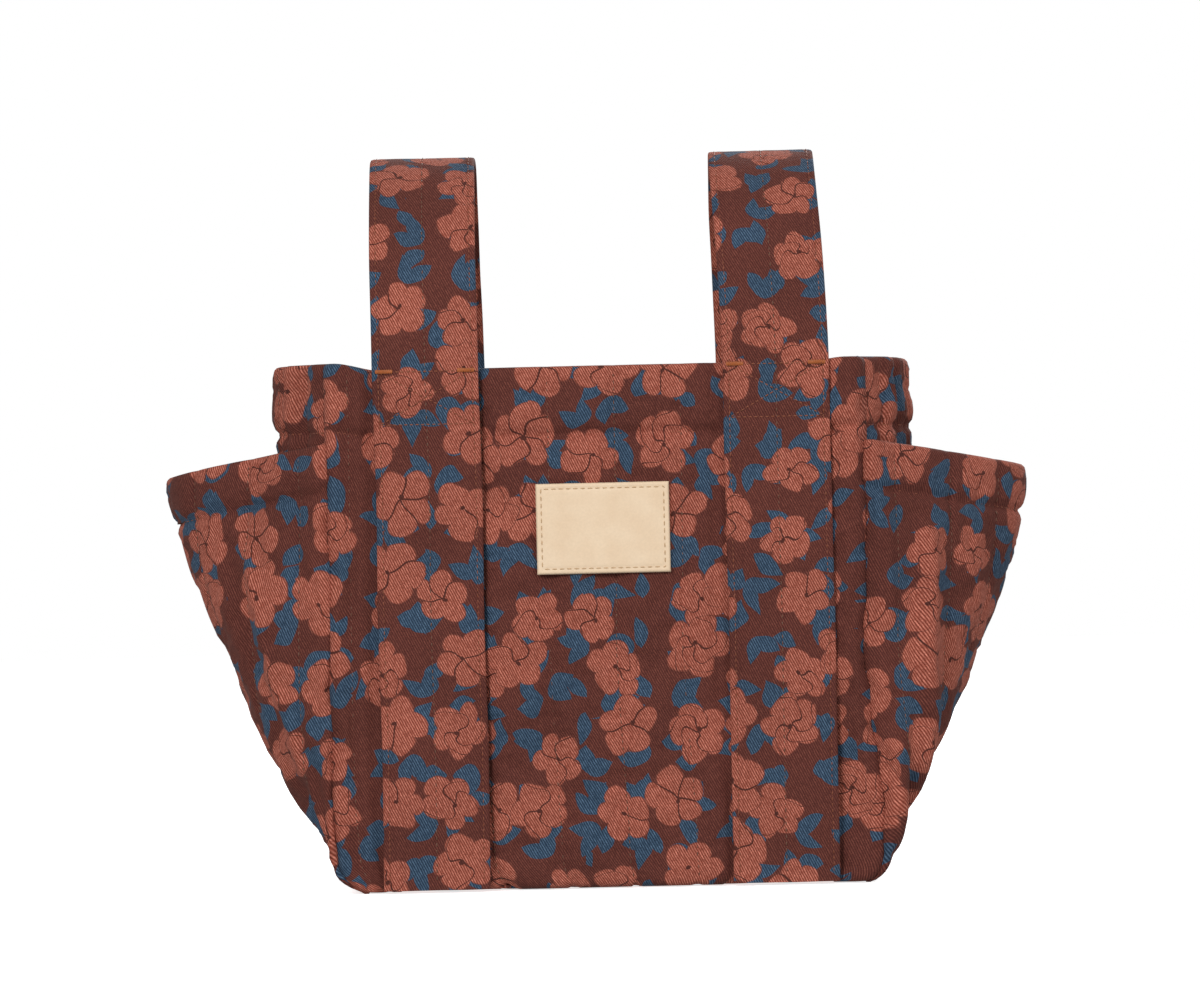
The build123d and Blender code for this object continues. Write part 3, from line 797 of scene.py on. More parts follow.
POCKETS = {}
for name, side in (("left_pocket", -1), ("right_pocket", 1)):
    seed = 11 + side
    points, u_front, u_back, z, top = pocket_surface(side)
    middle = points.shape[1] // 2
    u = np.where(np.arange(points.shape[1]) <= middle, u_front, u_back)
    normal = outward(points)
    hem = top + RIM_RADIUS - POCKET_HEM
    from_hem = z - hem
    gap, crown = channel(u, 15.0)
    relief = 1.15 * (crown - 0.45) - 0.5 * np.exp(-((gap / 0.9) ** 2))
    relief -= 1.7 * np.exp(-((from_hem / 1.5) ** 2))
    relief += 0.7 * smooth(0, 7, from_hem) + pucker(u, from_hem, 0.45, 6.0, 7.0, seed)
    relief += pucker(z, gap, 0.2, 4.5, 5.5, seed + 3)
    spot = np.stack([u, z * 0.5, u * 0 + seed * 40], -1)
    relief += 1.2 * ruffle(spot, 30.0, seed) + 0.35 * ruffle(spot, 9.0, seed + 1)
    relief *= smooth(0, 5, u_front) * smooth(0, 5, u_front[:, -1:] - u_front)
    relief *= smooth(0, 7, z)
    relief = np.maximum(relief + pocket_folds(side, u_front, z), -2.6)
    points = points + normal * relief[..., None]
    held = (gap < 1.7) | (np.abs(from_hem) < 1.7) | (z < 6)
    points = fill_out(points, held.astype(float))
    if side < 0:
        points[..., 2] += pocket_rise(points[..., 2])
    points[..., 2] = np.maximum(points[..., 2], 0.2)
    out = normal[-1] * [1, 1, 0]
    out /= np.linalg.norm(out, axis=1, keepdims=True)
    rim = turn_over(points[-1], out, 0, math.pi / 2, 4)[1:]
    inside = turn_over(points[-1], out, math.pi / 2, math.pi, 5, drop=POCKET_HEM - RIM_RADIUS)
    skin = np.concatenate([points, rim])
    skin_u = np.concatenate([u_front, np.repeat(u_front[-1:], 3, axis=0)])
    skin_v = np.concatenate([z, z[-1:] + RIM_RADIUS * np.linspace(0, math.pi / 2, 4)[1:, None]])
    inside_v = z[-1:] + 3.8 + np.linspace(0, POCKET_HEM + 1, len(inside))[:, None]
    shift = seed * 67.0
    pieces = [
        ("quilt", skin, skin_u, skin_v, ["panel", "wadding"]),
        ("hem", inside, np.repeat(u_front[-1:], len(inside), axis=0), inside_v, ["facing"]),
    ]
    for kind, grid, cloth_u, cloth_v, nodes in pieces:
        if side < 0:
            grid = grid[:, ::-1] * [-1, 1, 1]
            cloth_u, cloth_v = -cloth_u[:, ::-1], np.broadcast_to(cloth_v, grid.shape[:2])[:, ::-1]
        made = make_cloth(f"{name}_{kind}", grid, cloth_u + shift, cloth_v + shift)
        hidden = [f"{name}_{node}" for node in nodes]
        sewn_in(made, "printed_twill", *hidden, fill=0.35 if kind == "quilt" else None)
    if side < 0:
        points, u_front = points[:, ::-1] * [-1, 1, 1], u_front[:, ::-1]
        z, top = z[:, ::-1], top[::-1]
    POCKETS[name] = dict(points=points, u=u_front, v=z, top=top + RIM_RADIUS)

# ---------------------------------------------------------------- the straps
# Each strap is a tube of twill pressed flat round wadding, 40 mm wide, quilted down its middle
# and topstitched along both edges. It is sewn up the front, arches over the mouth and hangs
# behind the back, where its tail snaps to a band of the same make.

STRAP_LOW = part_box("right_strap")[0] / MM
TAIL_LOW, TAIL_HIGH = (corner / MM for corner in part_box("right_strap_tail"))
BAND_LOW, BAND_HIGH = (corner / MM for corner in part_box("right_front_band"))
BACK_BAND_LOW, BACK_BAND_HIGH = (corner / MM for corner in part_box("right_back_band"))
STRAP_HALF = (BAND_HIGH.x - BAND_LOW.x) / 2
STRAP_X = (BAND_HIGH.x + BAND_LOW.x) / 2
STRAP_THICK = BAND_HIGH.y - BAND_LOW.y
ARCH_BASE = STRAP_LOW.z
ARCH_FRONT, ARCH_BACK = STRAP_LOW.y + STRAP_THICK / 2, TAIL_HIGH.y - STRAP_THICK / 2
ARCH_MIDDLE = (ARCH_FRONT + ARCH_BACK) / 2
ARCH_SPARE = 3.2  # how much higher the empty loops stand than when they are pulled flat
ARCH_RISE = TAIL_HIGH.z - STRAP_THICK / 2 - ARCH_BASE + ARCH_SPARE
EDGE_STITCH = 17.6
JOIN_ABOVE_RIM = 38.0  # where the two pieces of a strap's front half meet
TOP_BEND = 26.0  # how far on each side of the top of the arch the strap bends


def strap_line():
    """The strap's own line seen from the side, as evenly spaced (y, z)."""
    sewn_z = np.linspace(0.8, HEIGHT - 1, 90)
    sewn_y = ARCH_FRONT - 0.9 * np.sin(sewn_z / HEIGHT * math.pi)
    turn = np.linspace(0.015, math.pi, 160)
    reach = (ARCH_BACK - ARCH_FRONT) / 2
    arch_z = ARCH_BASE + ARCH_RISE * np.sin(turn)
    arch = np.stack([ARCH_MIDDLE - reach * np.cos(turn), arch_z], -1)
    tail_z = np.linspace(ARCH_BASE - 2, TAIL_LOW.z + 0.3, 40)
    tail = np.stack([ARCH_BACK + 0 * tail_z, tail_z], -1)
    line = np.concatenate([np.stack([sewn_y, sewn_z], -1), arch, tail])
    far = along_line(line)
    even = np.linspace(0, far[-1], round(far[-1] / 1.7) + 1)
    return np.stack([np.interp(even, far, line[:, 0]), np.interp(even, far, line[:, 1])], -1), even


def flat_tube(x, across_sign, line, far, thick, seed, puff=0.55, lean=0.0):
    """A quilted strap laid along a line: the whole tube, its cloth places, and its outer face.

    The free part leans sideways by that much at its top.
    """
    half, edge = STRAP_HALF, thick / 2
    face = np.linspace(-half + edge, half - edge, 34)
    inner = np.linspace(half - edge, -half + edge, 15)
    first, last = inner[7:], inner[:8]
    bend = np.linspace(-math.pi / 2, math.pi / 2, 6)[1:-1]
    bulge = edge * np.cos(bend) ** 0.55
    climb = edge * np.sign(bend) * np.abs(np.sin(bend)) ** 0.55
    # round the section: from the middle of the inner face, over the outer one, and back
    across = np.concatenate([first, -half + edge - bulge, face, half - edge + bulge, last])
    under_it = np.full(len(first), -edge)
    height = np.concatenate([under_it, climb, np.full(len(face), edge), -climb, under_it])
    outer_start = len(first) + len(bend)
    outer = slice(outer_start, outer_start + len(face))
    step = np.hypot(np.diff(across), np.diff(height))
    round_section = np.r_[0, np.cumsum(step)]
    round_section -= round_section[outer][0] - face[0]
    tangent = np.gradient(line, axis=0)
    tangent /= np.linalg.norm(tangent, axis=1, keepdims=True)
    out = np.stack([0 * far, -tangent[:, 1], tangent[:, 0]], -1) * across_sign
    a, h = np.broadcast_arrays(across[None], height[None])
    a, h = a + 0 * far[:, None], h + 0 * far[:, None]
    v = far[:, None] + 0 * a
    is_out = (h > 0.98 * thick / 2).astype(float)
    gap = np.minimum(np.abs(a), np.abs(np.abs(a) - EDGE_STITCH))
    crown = np.sin(np.clip(np.abs(a) / EDGE_STITCH, 0, 1) * math.pi) ** 0.6
    high = smooth(HEIGHT, line[:, 1].max() + 1, line[:, 1])[:, None]
    calm = 1 - 0.7 * high**4  # the cloth is drawn smooth over the top of the arch
    lift = puff * crown * (1 - 0.8 * high**4) - 0.42 * np.exp(-((gap / 0.8) ** 2)) * calm
    lift += pucker(v, gap, 0.34, 3.5, 5.0, seed)
    if across_sign > 0:
        lift -= anchor_dents(a, v)
    spot = np.stack([a, v * 0.6, a * 0 + seed * 13], -1)
    lift += (0.4 * ruffle(spot, 24.0, seed) + 0.16 * ruffle(spot, 7.0, seed + 1)) * calm
    sway = 0.5 * ruffle(np.stack([far, far * 0, far * 0 + seed], -1), 60.0, seed)
    total = h + lift * is_out
    points = np.empty((len(far), len(across), 3))
    points[..., 0] = x + across_sign * (a + sway[:, None]) + lean * high
    points[..., 1] = line[:, 0:1] + out[:, 1:2] * total
    points[..., 2] = line[:, 1:2] + out[:, 2:3] * total
    return points, round_section[None] + 0 * v, v, outer


BOX_TOP, BOX_BOTTOM, BOX_HALF = HEIGHT - 1.6, HEIGHT - 21.5, 17.6


def anchor_dents(a, v):
    """How deep the stitched box and cross below the rim pull the strap in."""
    inside = smooth(BOX_BOTTOM - 1, BOX_BOTTOM, v) * smooth(BOX_TOP + 1, BOX_TOP, v)
    slope = (BOX_TOP - BOX_BOTTOM) / (2 * BOX_HALF)
    up = v - (BOX_TOP + BOX_BOTTOM) / 2
    flatter = 1 / math.hypot(1, slope)
    crossed = [np.exp(-((np.abs(up + s * slope * a) * flatter / 0.9) ** 2)) for s in (-1, 1)]
    dents = np.maximum(*crossed) * inside
    for level in (BOX_BOTTOM, BOX_TOP):
        dents = np.maximum(dents, np.exp(-(((v - level) / 0.8) ** 2)))
    return 0.62 * dents


STRAPS = {}
strap_path, strap_far = strap_line()
join_row = int(np.argmax(strap_path[:, 1] > HEIGHT + JOIN_ABOVE_RIM))
for name, side in (("left", -1), ("right", 1)):
    x = side * STRAP_X + (1.0 if side > 0 else 0.0)
    seed = 21 + side
    lean = -0.9 if side < 0 else -2.4  # the free loops lean to the left
    points, u, v, outer = flat_tube(x, 1, strap_path, strap_far, STRAP_THICK, seed, lean=lean)
    made = {}
    for part, rows in (("sewn", slice(0, join_row + 1)), ("free", slice(join_row, None))):
        cut_u, cut_v = u[rows] + seed * 83, v[rows] + seed * 41
        made[part] = make_cloth(
            f"{name}_strap_{part}", points[rows], cut_u, cut_v, thickness=0, wrap=True
        )
    rim_bend = dict(
        start=(x * MM, ARCH_FRONT * MM, (HEIGHT + 0.7) * MM),
        end=(x * MM, ARCH_FRONT * MM, (HEIGHT + 12) * MM),
    )
    top_bend = dict(
        start=(x * MM, (ARCH_MIDDLE - TOP_BEND) * MM, TAIL_HIGH.z * MM),
        end=(x * MM, (ARCH_MIDDLE + TOP_BEND) * MM, TAIL_HIGH.z * MM),
    )
    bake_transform(made["sewn"])
    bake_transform(made["free"])
    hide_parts(f"{name}_front_band")
    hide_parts(f"{name}_strap", f"{name}_strap_tail")
    face = dict(points=points[:, outer], u=u[:, outer], v=v[:, outer])
    STRAPS[name] = dict(face, rim_bend=rim_bend, top_bend=top_bend)

    band_z = np.linspace(0.8, HEIGHT - 0.4, 116)
    middle_y = (BACK_BAND_LOW.y + BACK_BAND_HIGH.y) / 2
    band_line = np.stack([middle_y + 0 * band_z, band_z], -1)
    band_thick = BACK_BAND_HIGH.y - BACK_BAND_LOW.y
    points, u, v, outer = flat_tube(x, -1, band_line, band_z, band_thick, seed + 7, puff=0.0)
    points[..., 1] = np.minimum(points[..., 1], BACK_BAND_HIGH.y + 0.25)
    cut_u, cut_v = u + seed * 97, v + seed * 29
    back = make_cloth(f"{name}_back_strip", points, cut_u, cut_v, thickness=0, wrap=True)
    sewn_in(back, "printed_twill", f"{name}_back_band", fill=0.3)
    STRAPS[name + "_back"] = dict(points=points[:, outer], u=u[:, outer], v=v[:, outer])

# ---------------------------------------------------------------- the leather patch
# A patch of natural vegetable-tanned leather, 1.6 mm thick, its cut edges a little darker and
# its face slightly pebbled. It is stitched on with beige thread along a 2 mm margin.


def leather():
    """Natural leather: pale tan, matt, with fine pebbled grain and faint cloudy patches."""
    material, add = new_material("vegetable_tanned_leather")
    place = add("TexCoord").outputs["Object"]
    cloud = add("TexNoise", {"Vector": place, "Scale": 1 / (9 * MM), "Detail": 4.0})
    pores = add("TexVoronoi", {"Vector": place, "Scale": 1 / (0.55 * MM)}, feature="SMOOTH_F1")
    fibres = add("TexNoise", {"Vector": place, "Scale": 1 / (0.9 * MM), "Detail": 3.0})
    tones = {0: cloud, 6: linear("#dcbf9e"), 7: linear("#ecd6b9")}
    colour = add("Mix", tones, data_type="RGBA").outputs[2]
    value = add("Math", "MULTIPLY_ADD", fibres, 0.16, 0.92)
    colour = add("HueSaturation", {"Value": value, "Color": colour})
    pores = add("Math", "MULTIPLY", pores, 0.5)
    grain = add("Math", "MULTIPLY_ADD", fibres, 0.6, pores)
    bump = add("Bump", {"Strength": 0.35, "Distance": 0.12 * MM, "Height": grain})
    rough = add("Math", "MULTIPLY_ADD", cloud, 0.14, 0.52)
    finish = {"Base Color": colour, "Roughness": rough, "Normal": bump, "Specular IOR Level": 0.35}
    add("OutputMaterial", add("BsdfPrincipled", finish))
    return material


PATCH_LOW, PATCH_HIGH = (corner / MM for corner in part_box("leather_label"))
PATCH_THICK = PATCH_HIGH.y - PATCH_LOW.y
PATCH_MARGIN = 2.0
patch_x = np.linspace(PATCH_LOW.x, PATCH_HIGH.x, 76)[None]
patch_z = np.linspace(PATCH_LOW.z, PATCH_HIGH.z, 52)[:, None]
inset = np.minimum(
    np.minimum(patch_x - PATCH_LOW.x, PATCH_HIGH.x - patch_x),
    np.minimum(patch_z - PATCH_LOW.z, PATCH_HIGH.z - patch_z),
)
patch_face = -HALF_DEPTH - PATCH_THICK - 0.9 - belly(patch_x, patch_z) * 0.95
patch_face = patch_face + 0.28 * np.exp(-(((inset - PATCH_MARGIN) / 0.55) ** 2))
patch_face = patch_face + 0.45 * (1 - smooth(0, 1.1, inset)) ** 2
patch_points = spread(patch_x, patch_face, patch_z)
patch = make_cloth(
    "leather_patch", patch_points, patch_x, patch_z, thickness=PATCH_THICK, material=leather()
)
sewn_in(patch, "label_leather", "leather_label")

# ---------------------------------------------------------------- the lining
# Satin-faced coated cotton in a warm sand colour: it lines the walls, the base and the pockets,
# stops under the turned rims, and puckers where it is caught in the seams.


def coated_cotton():
    """Plain-woven cotton with a thin water-resistant coat, which gives it a low satin gloss."""
    material, add = new_material("coated_cotton_lining")
    cloth = add("UVMap", uv_map="cloth")
    u, v, _ = add("SeparateXYZ", cloth).outputs
    pitch = 0.8 * MM  # the real 0.4 mm weave is drawn this coarse so that it shows
    warp = add("Math", "SINE", add("Math", "MULTIPLY", u, math.tau / pitch))
    weft = add("Math", "SINE", add("Math", "MULTIPLY", v, math.tau / pitch))
    weave = add("Math", "MULTIPLY", warp, weft)
    patch_noise = add("TexNoise", {"Vector": cloth, "Scale": 1 / (30 * MM), "Detail": 3.0})
    tones = {0: patch_noise, 6: linear("#b4926c"), 7: linear("#cdae88")}
    colour = add("Mix", tones, data_type="RGBA").outputs[2]
    value = add("Math", "MULTIPLY_ADD", weave, 0.05, 1.0)
    colour = add("HueSaturation", {"Value": value, "Color": colour})
    bump = add("Bump", {"Strength": 0.3, "Distance": 0.08 * MM, "Height": weave})
    shader = add("BsdfPrincipled",
        {
            "Base Color": colour,
            "Roughness": add("Math", "MULTIPLY_ADD", patch_noise, 0.12, 0.44),
            "Normal": bump,
            "Coat Weight": 0.12,
            "Coat Roughness": 0.35,
        },
    )
    add("OutputMaterial", shader)
    return material


LINING = coated_cotton()
FLAT_INSET, SLACK_INSET = (4.3, 0.0), (4.3, 1.9)  # from the wall, and more below its hem
LINING_THICK = 0.7
TUCK = 1.8  # how far below a hem's stitches its lining ends
LINING_TOP = HEM_SEAM_Z - TUCK
BASE_LINING_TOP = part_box("base_lining")[1].z / MM


def line_with(name, wall, inset, low, high, node, seed, keep_clear=None):
    """A lining inside a plain wall, at a distance from it, and further in below the hem.

    It runs from a low height to a high one, which may be given for each column.
    """
    rows, columns = wall.shape[:2]
    inner = np.empty_like(wall)
    inner[..., 2] = low + (high - low) * np.linspace(0, 1, rows)[:, None]
    for column in range(columns):
        for k in (0, 1):
            inner[:, column, k] = np.interp(
                inner[:, column, 2], wall[:, column, 2], wall[:, column, k]
            )
    below_hem = smooth(0, 14, high - inner[..., 2])
    spot = inner @ np.array([[1.0, 0.0, 0.0], [1.0, 0.0, 0.5], [0.0, 0.7, 0.0]])
    slack = 0.6 * ruffle(spot, 26.0, seed) + 0.25 * ruffle(spot, 8.0, seed + 1)
    depth = inset[0] + inset[1] * below_hem - slack * (0.3 + 0.7 * below_hem)
    lined = inner - outward(inner) * depth[..., None]
    lined[..., 2] = inner[..., 2]
    if keep_clear is not None:
        lined = keep_clear(lined)
    lined = lined[:, ::-1]
    lining = make_cloth(
        name, lined, along_rows(lined), lined[..., 2], thickness=LINING_THICK, material=LINING
    )
    sewn_in(lining, "coated_lining", node)


for name, side in (("front", -1), ("back", 1)):
    plain = front_or_back(side, spacing=3.4)[0]
    inner_x = np.clip(plain[..., 0], -HALF_WIDTH + 4.2, HALF_WIDTH - 4.2)
    flat = slump(spread(inner_x, side * HALF_DEPTH, plain[..., 2]))
    top = LINING_TOP + rise(flat[-1, :, 0], HEM_SEAM_Z)
    node = f"{name}_lining"
    line_with(f"{node}_cloth", flat, FLAT_INSET, BASE_LINING_TOP, top, node, 31 + side)
for name, side in (("left", -1), ("right", 1)):
    plain = side_wall(side, spacing=3.4)[0]
    top = LINING_TOP + rise(plain[-1, :, 0], HEM_SEAM_Z)
    node = f"{name}_side_lining"
    line_with(f"{node}_cloth", slump(plain), SLACK_INSET, BASE_LINING_TOP, top, node, 35 + side)

    def outside_body(inner, side=side):
        """Keeps the pocket's lining clear of the body's bowed side wall."""
        share = np.clip((inner[..., 1] / (HALF_DEPTH - SEAM_SETBACK) + 1) / 2, 0, 1)
        wall = 104.0 + (side_bow(inner[..., 2], side) + 1.0) * np.sin(share * math.pi) ** 0.62
        made = inner.copy()
        made[..., 0] = side * np.maximum(side * inner[..., 0], wall)
        made[..., 1] = np.clip(inner[..., 1], -54.4, 54.4)
        return made

    points, _, _, _, top = pocket_surface(side, columns=64, spacing=3.4)
    lined = points[:, 2:-2]
    top = (top + RIM_RADIUS - POCKET_HEM - TUCK)[2:-2]
    if side < 0:
        lined[..., 2] += pocket_rise(lined[..., 2])
        top = (top + pocket_rise(top))[::-1]
        lined = lined[:, ::-1] * [-1, 1, 1]
    node = f"{name}_pocket_lining"
    line_with(f"{node}_cloth", lined, SLACK_INSET, 34.0, top, node, 41 + side, outside_body)

grid_x = np.linspace(-1, 1, 62)[None]
grid_y = np.linspace(-1, 1, 36)[:, None]
base_points = spread(grid_x * (HALF_WIDTH - 3.6), grid_y * (HALF_DEPTH - 3.9), BASE_LINING_TOP)
base_points[..., 2] += 0.25 * ruffle(base_points, 22.0, 47)
base_lining = make_cloth(
    "base_lining_cloth", base_points, base_points[..., 0], base_points[..., 1], LINING_THICK, LINING
)
sewn_in(base_lining, "coated_lining", "base_lining")

# ---------------------------------------------------------------- the base
# A single quilted panel of the twill, sewn to the walls all round, with a stiff polyethylene
# board above its wadding that keeps the bag standing.

base_half_width = BACK_HALF_WIDTH - CORNER_RADIUS + 0.4
under = spread(grid_x * base_half_width, -grid_y * (HALF_DEPTH - 2.6), 0.15)
gap, crown = channel(under[..., 0])
edge = np.minimum(1 - np.abs(grid_x), 1 - np.abs(grid_y))
under[..., 2] += (0.5 * (1 - crown) + 0.35 * np.exp(-((gap / 1.2) ** 2))) * smooth(0, 0.1, edge)
under[..., 2] += 0.7 * (1 - smooth(0, 0.06, edge))
base = make_cloth("base_quilt", under, under[..., 0] + 900, under[..., 1] + 400)
sewn_in(base, "printed_twill", "base_panel", "base_wadding", fill=0.35)


def moulded_sheet():
    """Matt extruded polyethylene: faintly mottled, with a soft edge to its highlights."""
    material, add = new_material("polyethylene_sheet")
    place = add("TexCoord").outputs["Object"]
    mottle = add("TexNoise", {"Vector": place, "Scale": 1 / (4 * MM), "Detail": 3.0})
    tones = {0: mottle, 6: linear("#c9c8c4"), 7: linear("#dedcd7")}
    colour = add("Mix", tones, data_type="RGBA").outputs[2]
    bump = add("Bump", {"Strength": 0.2, "Distance": 0.05 * MM, "Height": mottle})
    finish = {"Base Color": colour, "Roughness": 0.55, "Normal": bump, "IOR": 1.51}
    add("OutputMaterial", add("BsdfPrincipled", finish))
    return material


def paint(node, material):
    """Gives a CAD node a material in place of its packed one."""
    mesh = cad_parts[node].data
    mesh.materials.clear()
    mesh.materials.append(material)


paint("base_board", moulded_sheet())

# ---------------------------------------------------------------- the press studs
# Spring press studs of pressed brass with a brown antique finish: rubbed bright on their
# rims and domes, dark in their hollows.


def antique_brass():
    """Pressed brass, darkened and then rubbed, with fine scratches."""
    material, add = new_material("antique_brass")
    place = add("TexCoord").outputs["Object"]
    rub = add("TexNoise", {"Vector": place, "Scale": 1 / (3 * MM), "Detail": 5.0})
    scratch_place = add("Mapping", {"Vector": place, "Scale": (1.0, 1.0, 9.0)})
    scratches = add("TexNoise", {"Vector": scratch_place, "Scale": 1 / (1.1 * MM), "Detail": 4.0})
    tones = {0: rub, 6: linear("#6d5135"), 7: linear("#b28e5e")}
    colour = add("Mix", tones, data_type="RGBA").outputs[2]
    rough = add("Math", "MULTIPLY_ADD", scratches, 0.3, 0.22)
    bump = add("Bump", {"Strength": 0.15, "Distance": 0.03 * MM, "Height": scratches})
    finish = {"Base Color": colour, "Metallic": 1.0, "Roughness": rough, "Normal": bump}
    add("OutputMaterial", add("BsdfPrincipled", finish))
    return material


BRASS = antique_brass()
for name in ("left", "right"):
    for part in ("snap_studs", "snap_socket", "snap_cap"):
        paint(f"{name}_{part}", BRASS)

# ---------------------------------------------------------------- the slip pocket
# Two bays of the lining cloth on the inside of the back wall. A flat elastic runs along the top
# of each and draws the cloth into gathers.

SLIP_LOW, SLIP_HIGH = (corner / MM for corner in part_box("slip_pocket"))
ELASTIC_LOW, ELASTIC_HIGH = (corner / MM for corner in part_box("slip_pocket_elastic"))
BAY_COLUMNS = 74
SLIP_DEEP = SLIP_HIGH.y - SLIP_LOW.y
elastics = []
rows_up = np.linspace(0, 1, 50)[:, None]
for bay, bay_name in ((-1, "left"), (1, "right")):
    start_x, end_x = sorted((0.4 * bay, (SLIP_HIGH.x - 0.3) * bay))
    share = np.linspace(0, 1, BAY_COLUMNS)[None]
    arch = np.sin(share * math.pi)
    x = start_x + (end_x - start_x) * share + 0 * rows_up
    z = SLIP_LOW.z + (SLIP_HIGH.z - SLIP_LOW.z) * rows_up + 0 * share
    bow = SLIP_DEEP * (0.18 + 0.72 * rows_up**0.8) * arch**0.8
    gather = smooth(0.55, 0.93, rows_up) * np.sin(share * math.tau * 9 + 1.3 * bay) * arch**0.5
    fold = 0.8 * gather + 0.5 * ruffle(spread(x, z * 0.6, bay), 13.0, 51)
    y = SLIP_HIGH.y - 0.9 - bow * smooth(0, 0.12, rows_up)
    y = y - fold * smooth(0, 0.06, rows_up) * arch**0.4
    y += 0.7 * np.exp(-(((z - ELASTIC_LOW.z + 0.5) / 1.2) ** 2))  # the channel's lower seam
    points = spread(x, y, z)
    facing_in = np.tile([0.0, -1.0, 0.0], (BAY_COLUMNS, 1))
    top = turn_over(points[-1], facing_in, 0, math.pi / 2, 4)[1:]
    top = points[-1] + (top - points[-1]) * [1, 0.35, 0.25]
    points = np.concatenate([points, top])
    piece = make_cloth(
        f"slip_pocket_bay_{bay_name}",
        points,
        along_rows(points) + 300 * bay,
        points[..., 2],
        LINING_THICK,
        LINING,
    )
    sewn_in(piece, "coated_lining", "slip_pocket")
    strip_start = start_x + 3 * (bay > 0) + 1.5
    strip_end = end_x - 1.5 - 3 * (bay < 0)
    strip_x = np.linspace(strip_start, strip_end, 150)[None]
    strip_z = np.linspace(ELASTIC_LOW.z, ELASTIC_HIGH.z - 0.6, 12)[:, None]
    strip_bow = SLIP_DEEP * 0.86 * np.sin((strip_x - start_x) / (end_x - start_x) * math.pi) ** 0.8
    rib = 0.12 * np.sin(strip_x * math.tau / 1.6)
    strip_y = np.minimum(SLIP_HIGH.y - 0.9 - strip_bow + 1.9 + rib, SLIP_HIGH.y - 0.2)
    elastics.append((f"slip_elastic_{bay_name}", spread(strip_x, strip_y, strip_z)[:, ::-1]))


def woven_elastic():
    """Knitted elastic tape: off-white, with fine ribs along it."""
    material, add = new_material("woven_elastic")
    cloth = add("UVMap", uv_map="cloth")
    v = add("SeparateXYZ", cloth).outputs[1]
    rib = add("Math", "SINE", add("Math", "MULTIPLY", v, math.tau / (1.0 * MM)))
    share = add("Math", "MULTIPLY_ADD", rib, 0.5, 0.5)
    tones = {0: share, 6: linear("#bfb7a8"), 7: linear("#e6e0d3")}
    colour = add("Mix", tones, data_type="RGBA").outputs[2]
    bump = add("Bump", {"Strength": 0.5, "Distance": 0.15 * MM, "Height": share})
    finish = {"Base Color": colour, "Roughness": 0.8, "Normal": bump}
    add("OutputMaterial", add("BsdfPrincipled", finish))
    return material


ELASTIC = woven_elastic()
for name, strip in elastics:
    piece = make_cloth(name, strip, strip[..., 0], strip[..., 2], 0.8, ELASTIC)
    sewn_in(piece, "elastic", "slip_pocket_elastic")

# ---------------------------------------------------------------- the stitching
# Lockstitch in polyester thread: brown along the quilting, rust at the hems, the straps'
# edges and the crossed boxes that anchor them. Each stitch bites into the cloth at both ends.


def spun_thread(name, code):
    """Twisted polyester thread: a low gloss broken by its ply."""
    material, add = new_material(name)
    place = add("TexCoord").outputs["Object"]
    ply = add("TexNoise", {"Vector": place, "Scale": 1 / (0.4 * MM), "Detail": 2.0})
    dark = tuple(c * 0.62 for c in linear(code)[:3]) + (1.0,)
    light = tuple(min(1.0, c * 1.3) for c in linear(code)[:3]) + (1.0,)
    tones = {0: ply, 6: dark, 7: light}
    colour = add("Mix", tones, data_type="RGBA").outputs[2]
    bump = add("Bump", {"Strength": 0.4, "Distance": 0.06 * MM, "Height": ply})
    finish = {"Base Color": colour, "Roughness": 0.5, "Normal": bump, "Sheen Weight": 0.1}
    add("OutputMaterial", add("BsdfPrincipled", finish))
    return material


BROWN_THREAD = spun_thread("brown_thread", "#6a4330")
RUST_THREAD = spun_thread("rust_thread", "#864628")
ORANGE_THREAD = spun_thread("orange_rust_thread", "#a85a24")
BEIGE_THREAD = spun_thread("beige_thread", "#c3a27b")

shape = bmesh.new()
bmesh.ops.create_uvsphere(
    shape, u_segments=6, v_segments=4, radius=1.0, matrix=Matrix.Rotation(math.pi / 2, 4, "Y")
)
ONE_STITCH = bpy.data.meshes.new("stitch")
for face in shape.faces:
    face.smooth = True
shape.to_mesh(ONE_STITCH)
shape.free()


class Surface:
    """A laid cloth that stitches can be put on by their place in the flat cloth."""

    def __init__(self, cloth):
        points = cloth["points"]
        self.points, self.normal = points, outward(points)
        self.u, self.v = (np.broadcast_to(cloth[key], points.shape[:2]) for key in ("u", "v"))
        p_t, p_s = np.gradient(points, axis=(0, 1))
        u_t, u_s = np.gradient(self.u)
        v_t, v_s = np.gradient(self.v)
        det = u_s * v_t - u_t * v_s
        det = np.where(np.abs(det) < 1e-6, 1e-6, det)[..., None]
        self.along_u = (p_s * v_t[..., None] - p_t * v_s[..., None]) / det
        self.along_v = (p_t * u_s[..., None] - p_s * u_t[..., None]) / det
        self.flat = np.stack([self.u.ravel(), self.v.ravel()], -1)

    def at(self, u, v):
        """Point, normal, and the directions of u and v at that place in the cloth."""
        far = (self.flat[:, 0] - u) ** 2 + (self.flat[:, 1] - v) ** 2
        k = int(np.argmin(far))
        row, column = divmod(k, self.points.shape[1])
        along_u, along_v = self.along_u[row, column], self.along_v[row, column]
        point = (
            self.points[row, column]
            + along_u * (u - self.u[row, column])
            + along_v * (v - self.v[row, column])
        )
        return point, self.normal[row, column], along_u, along_v


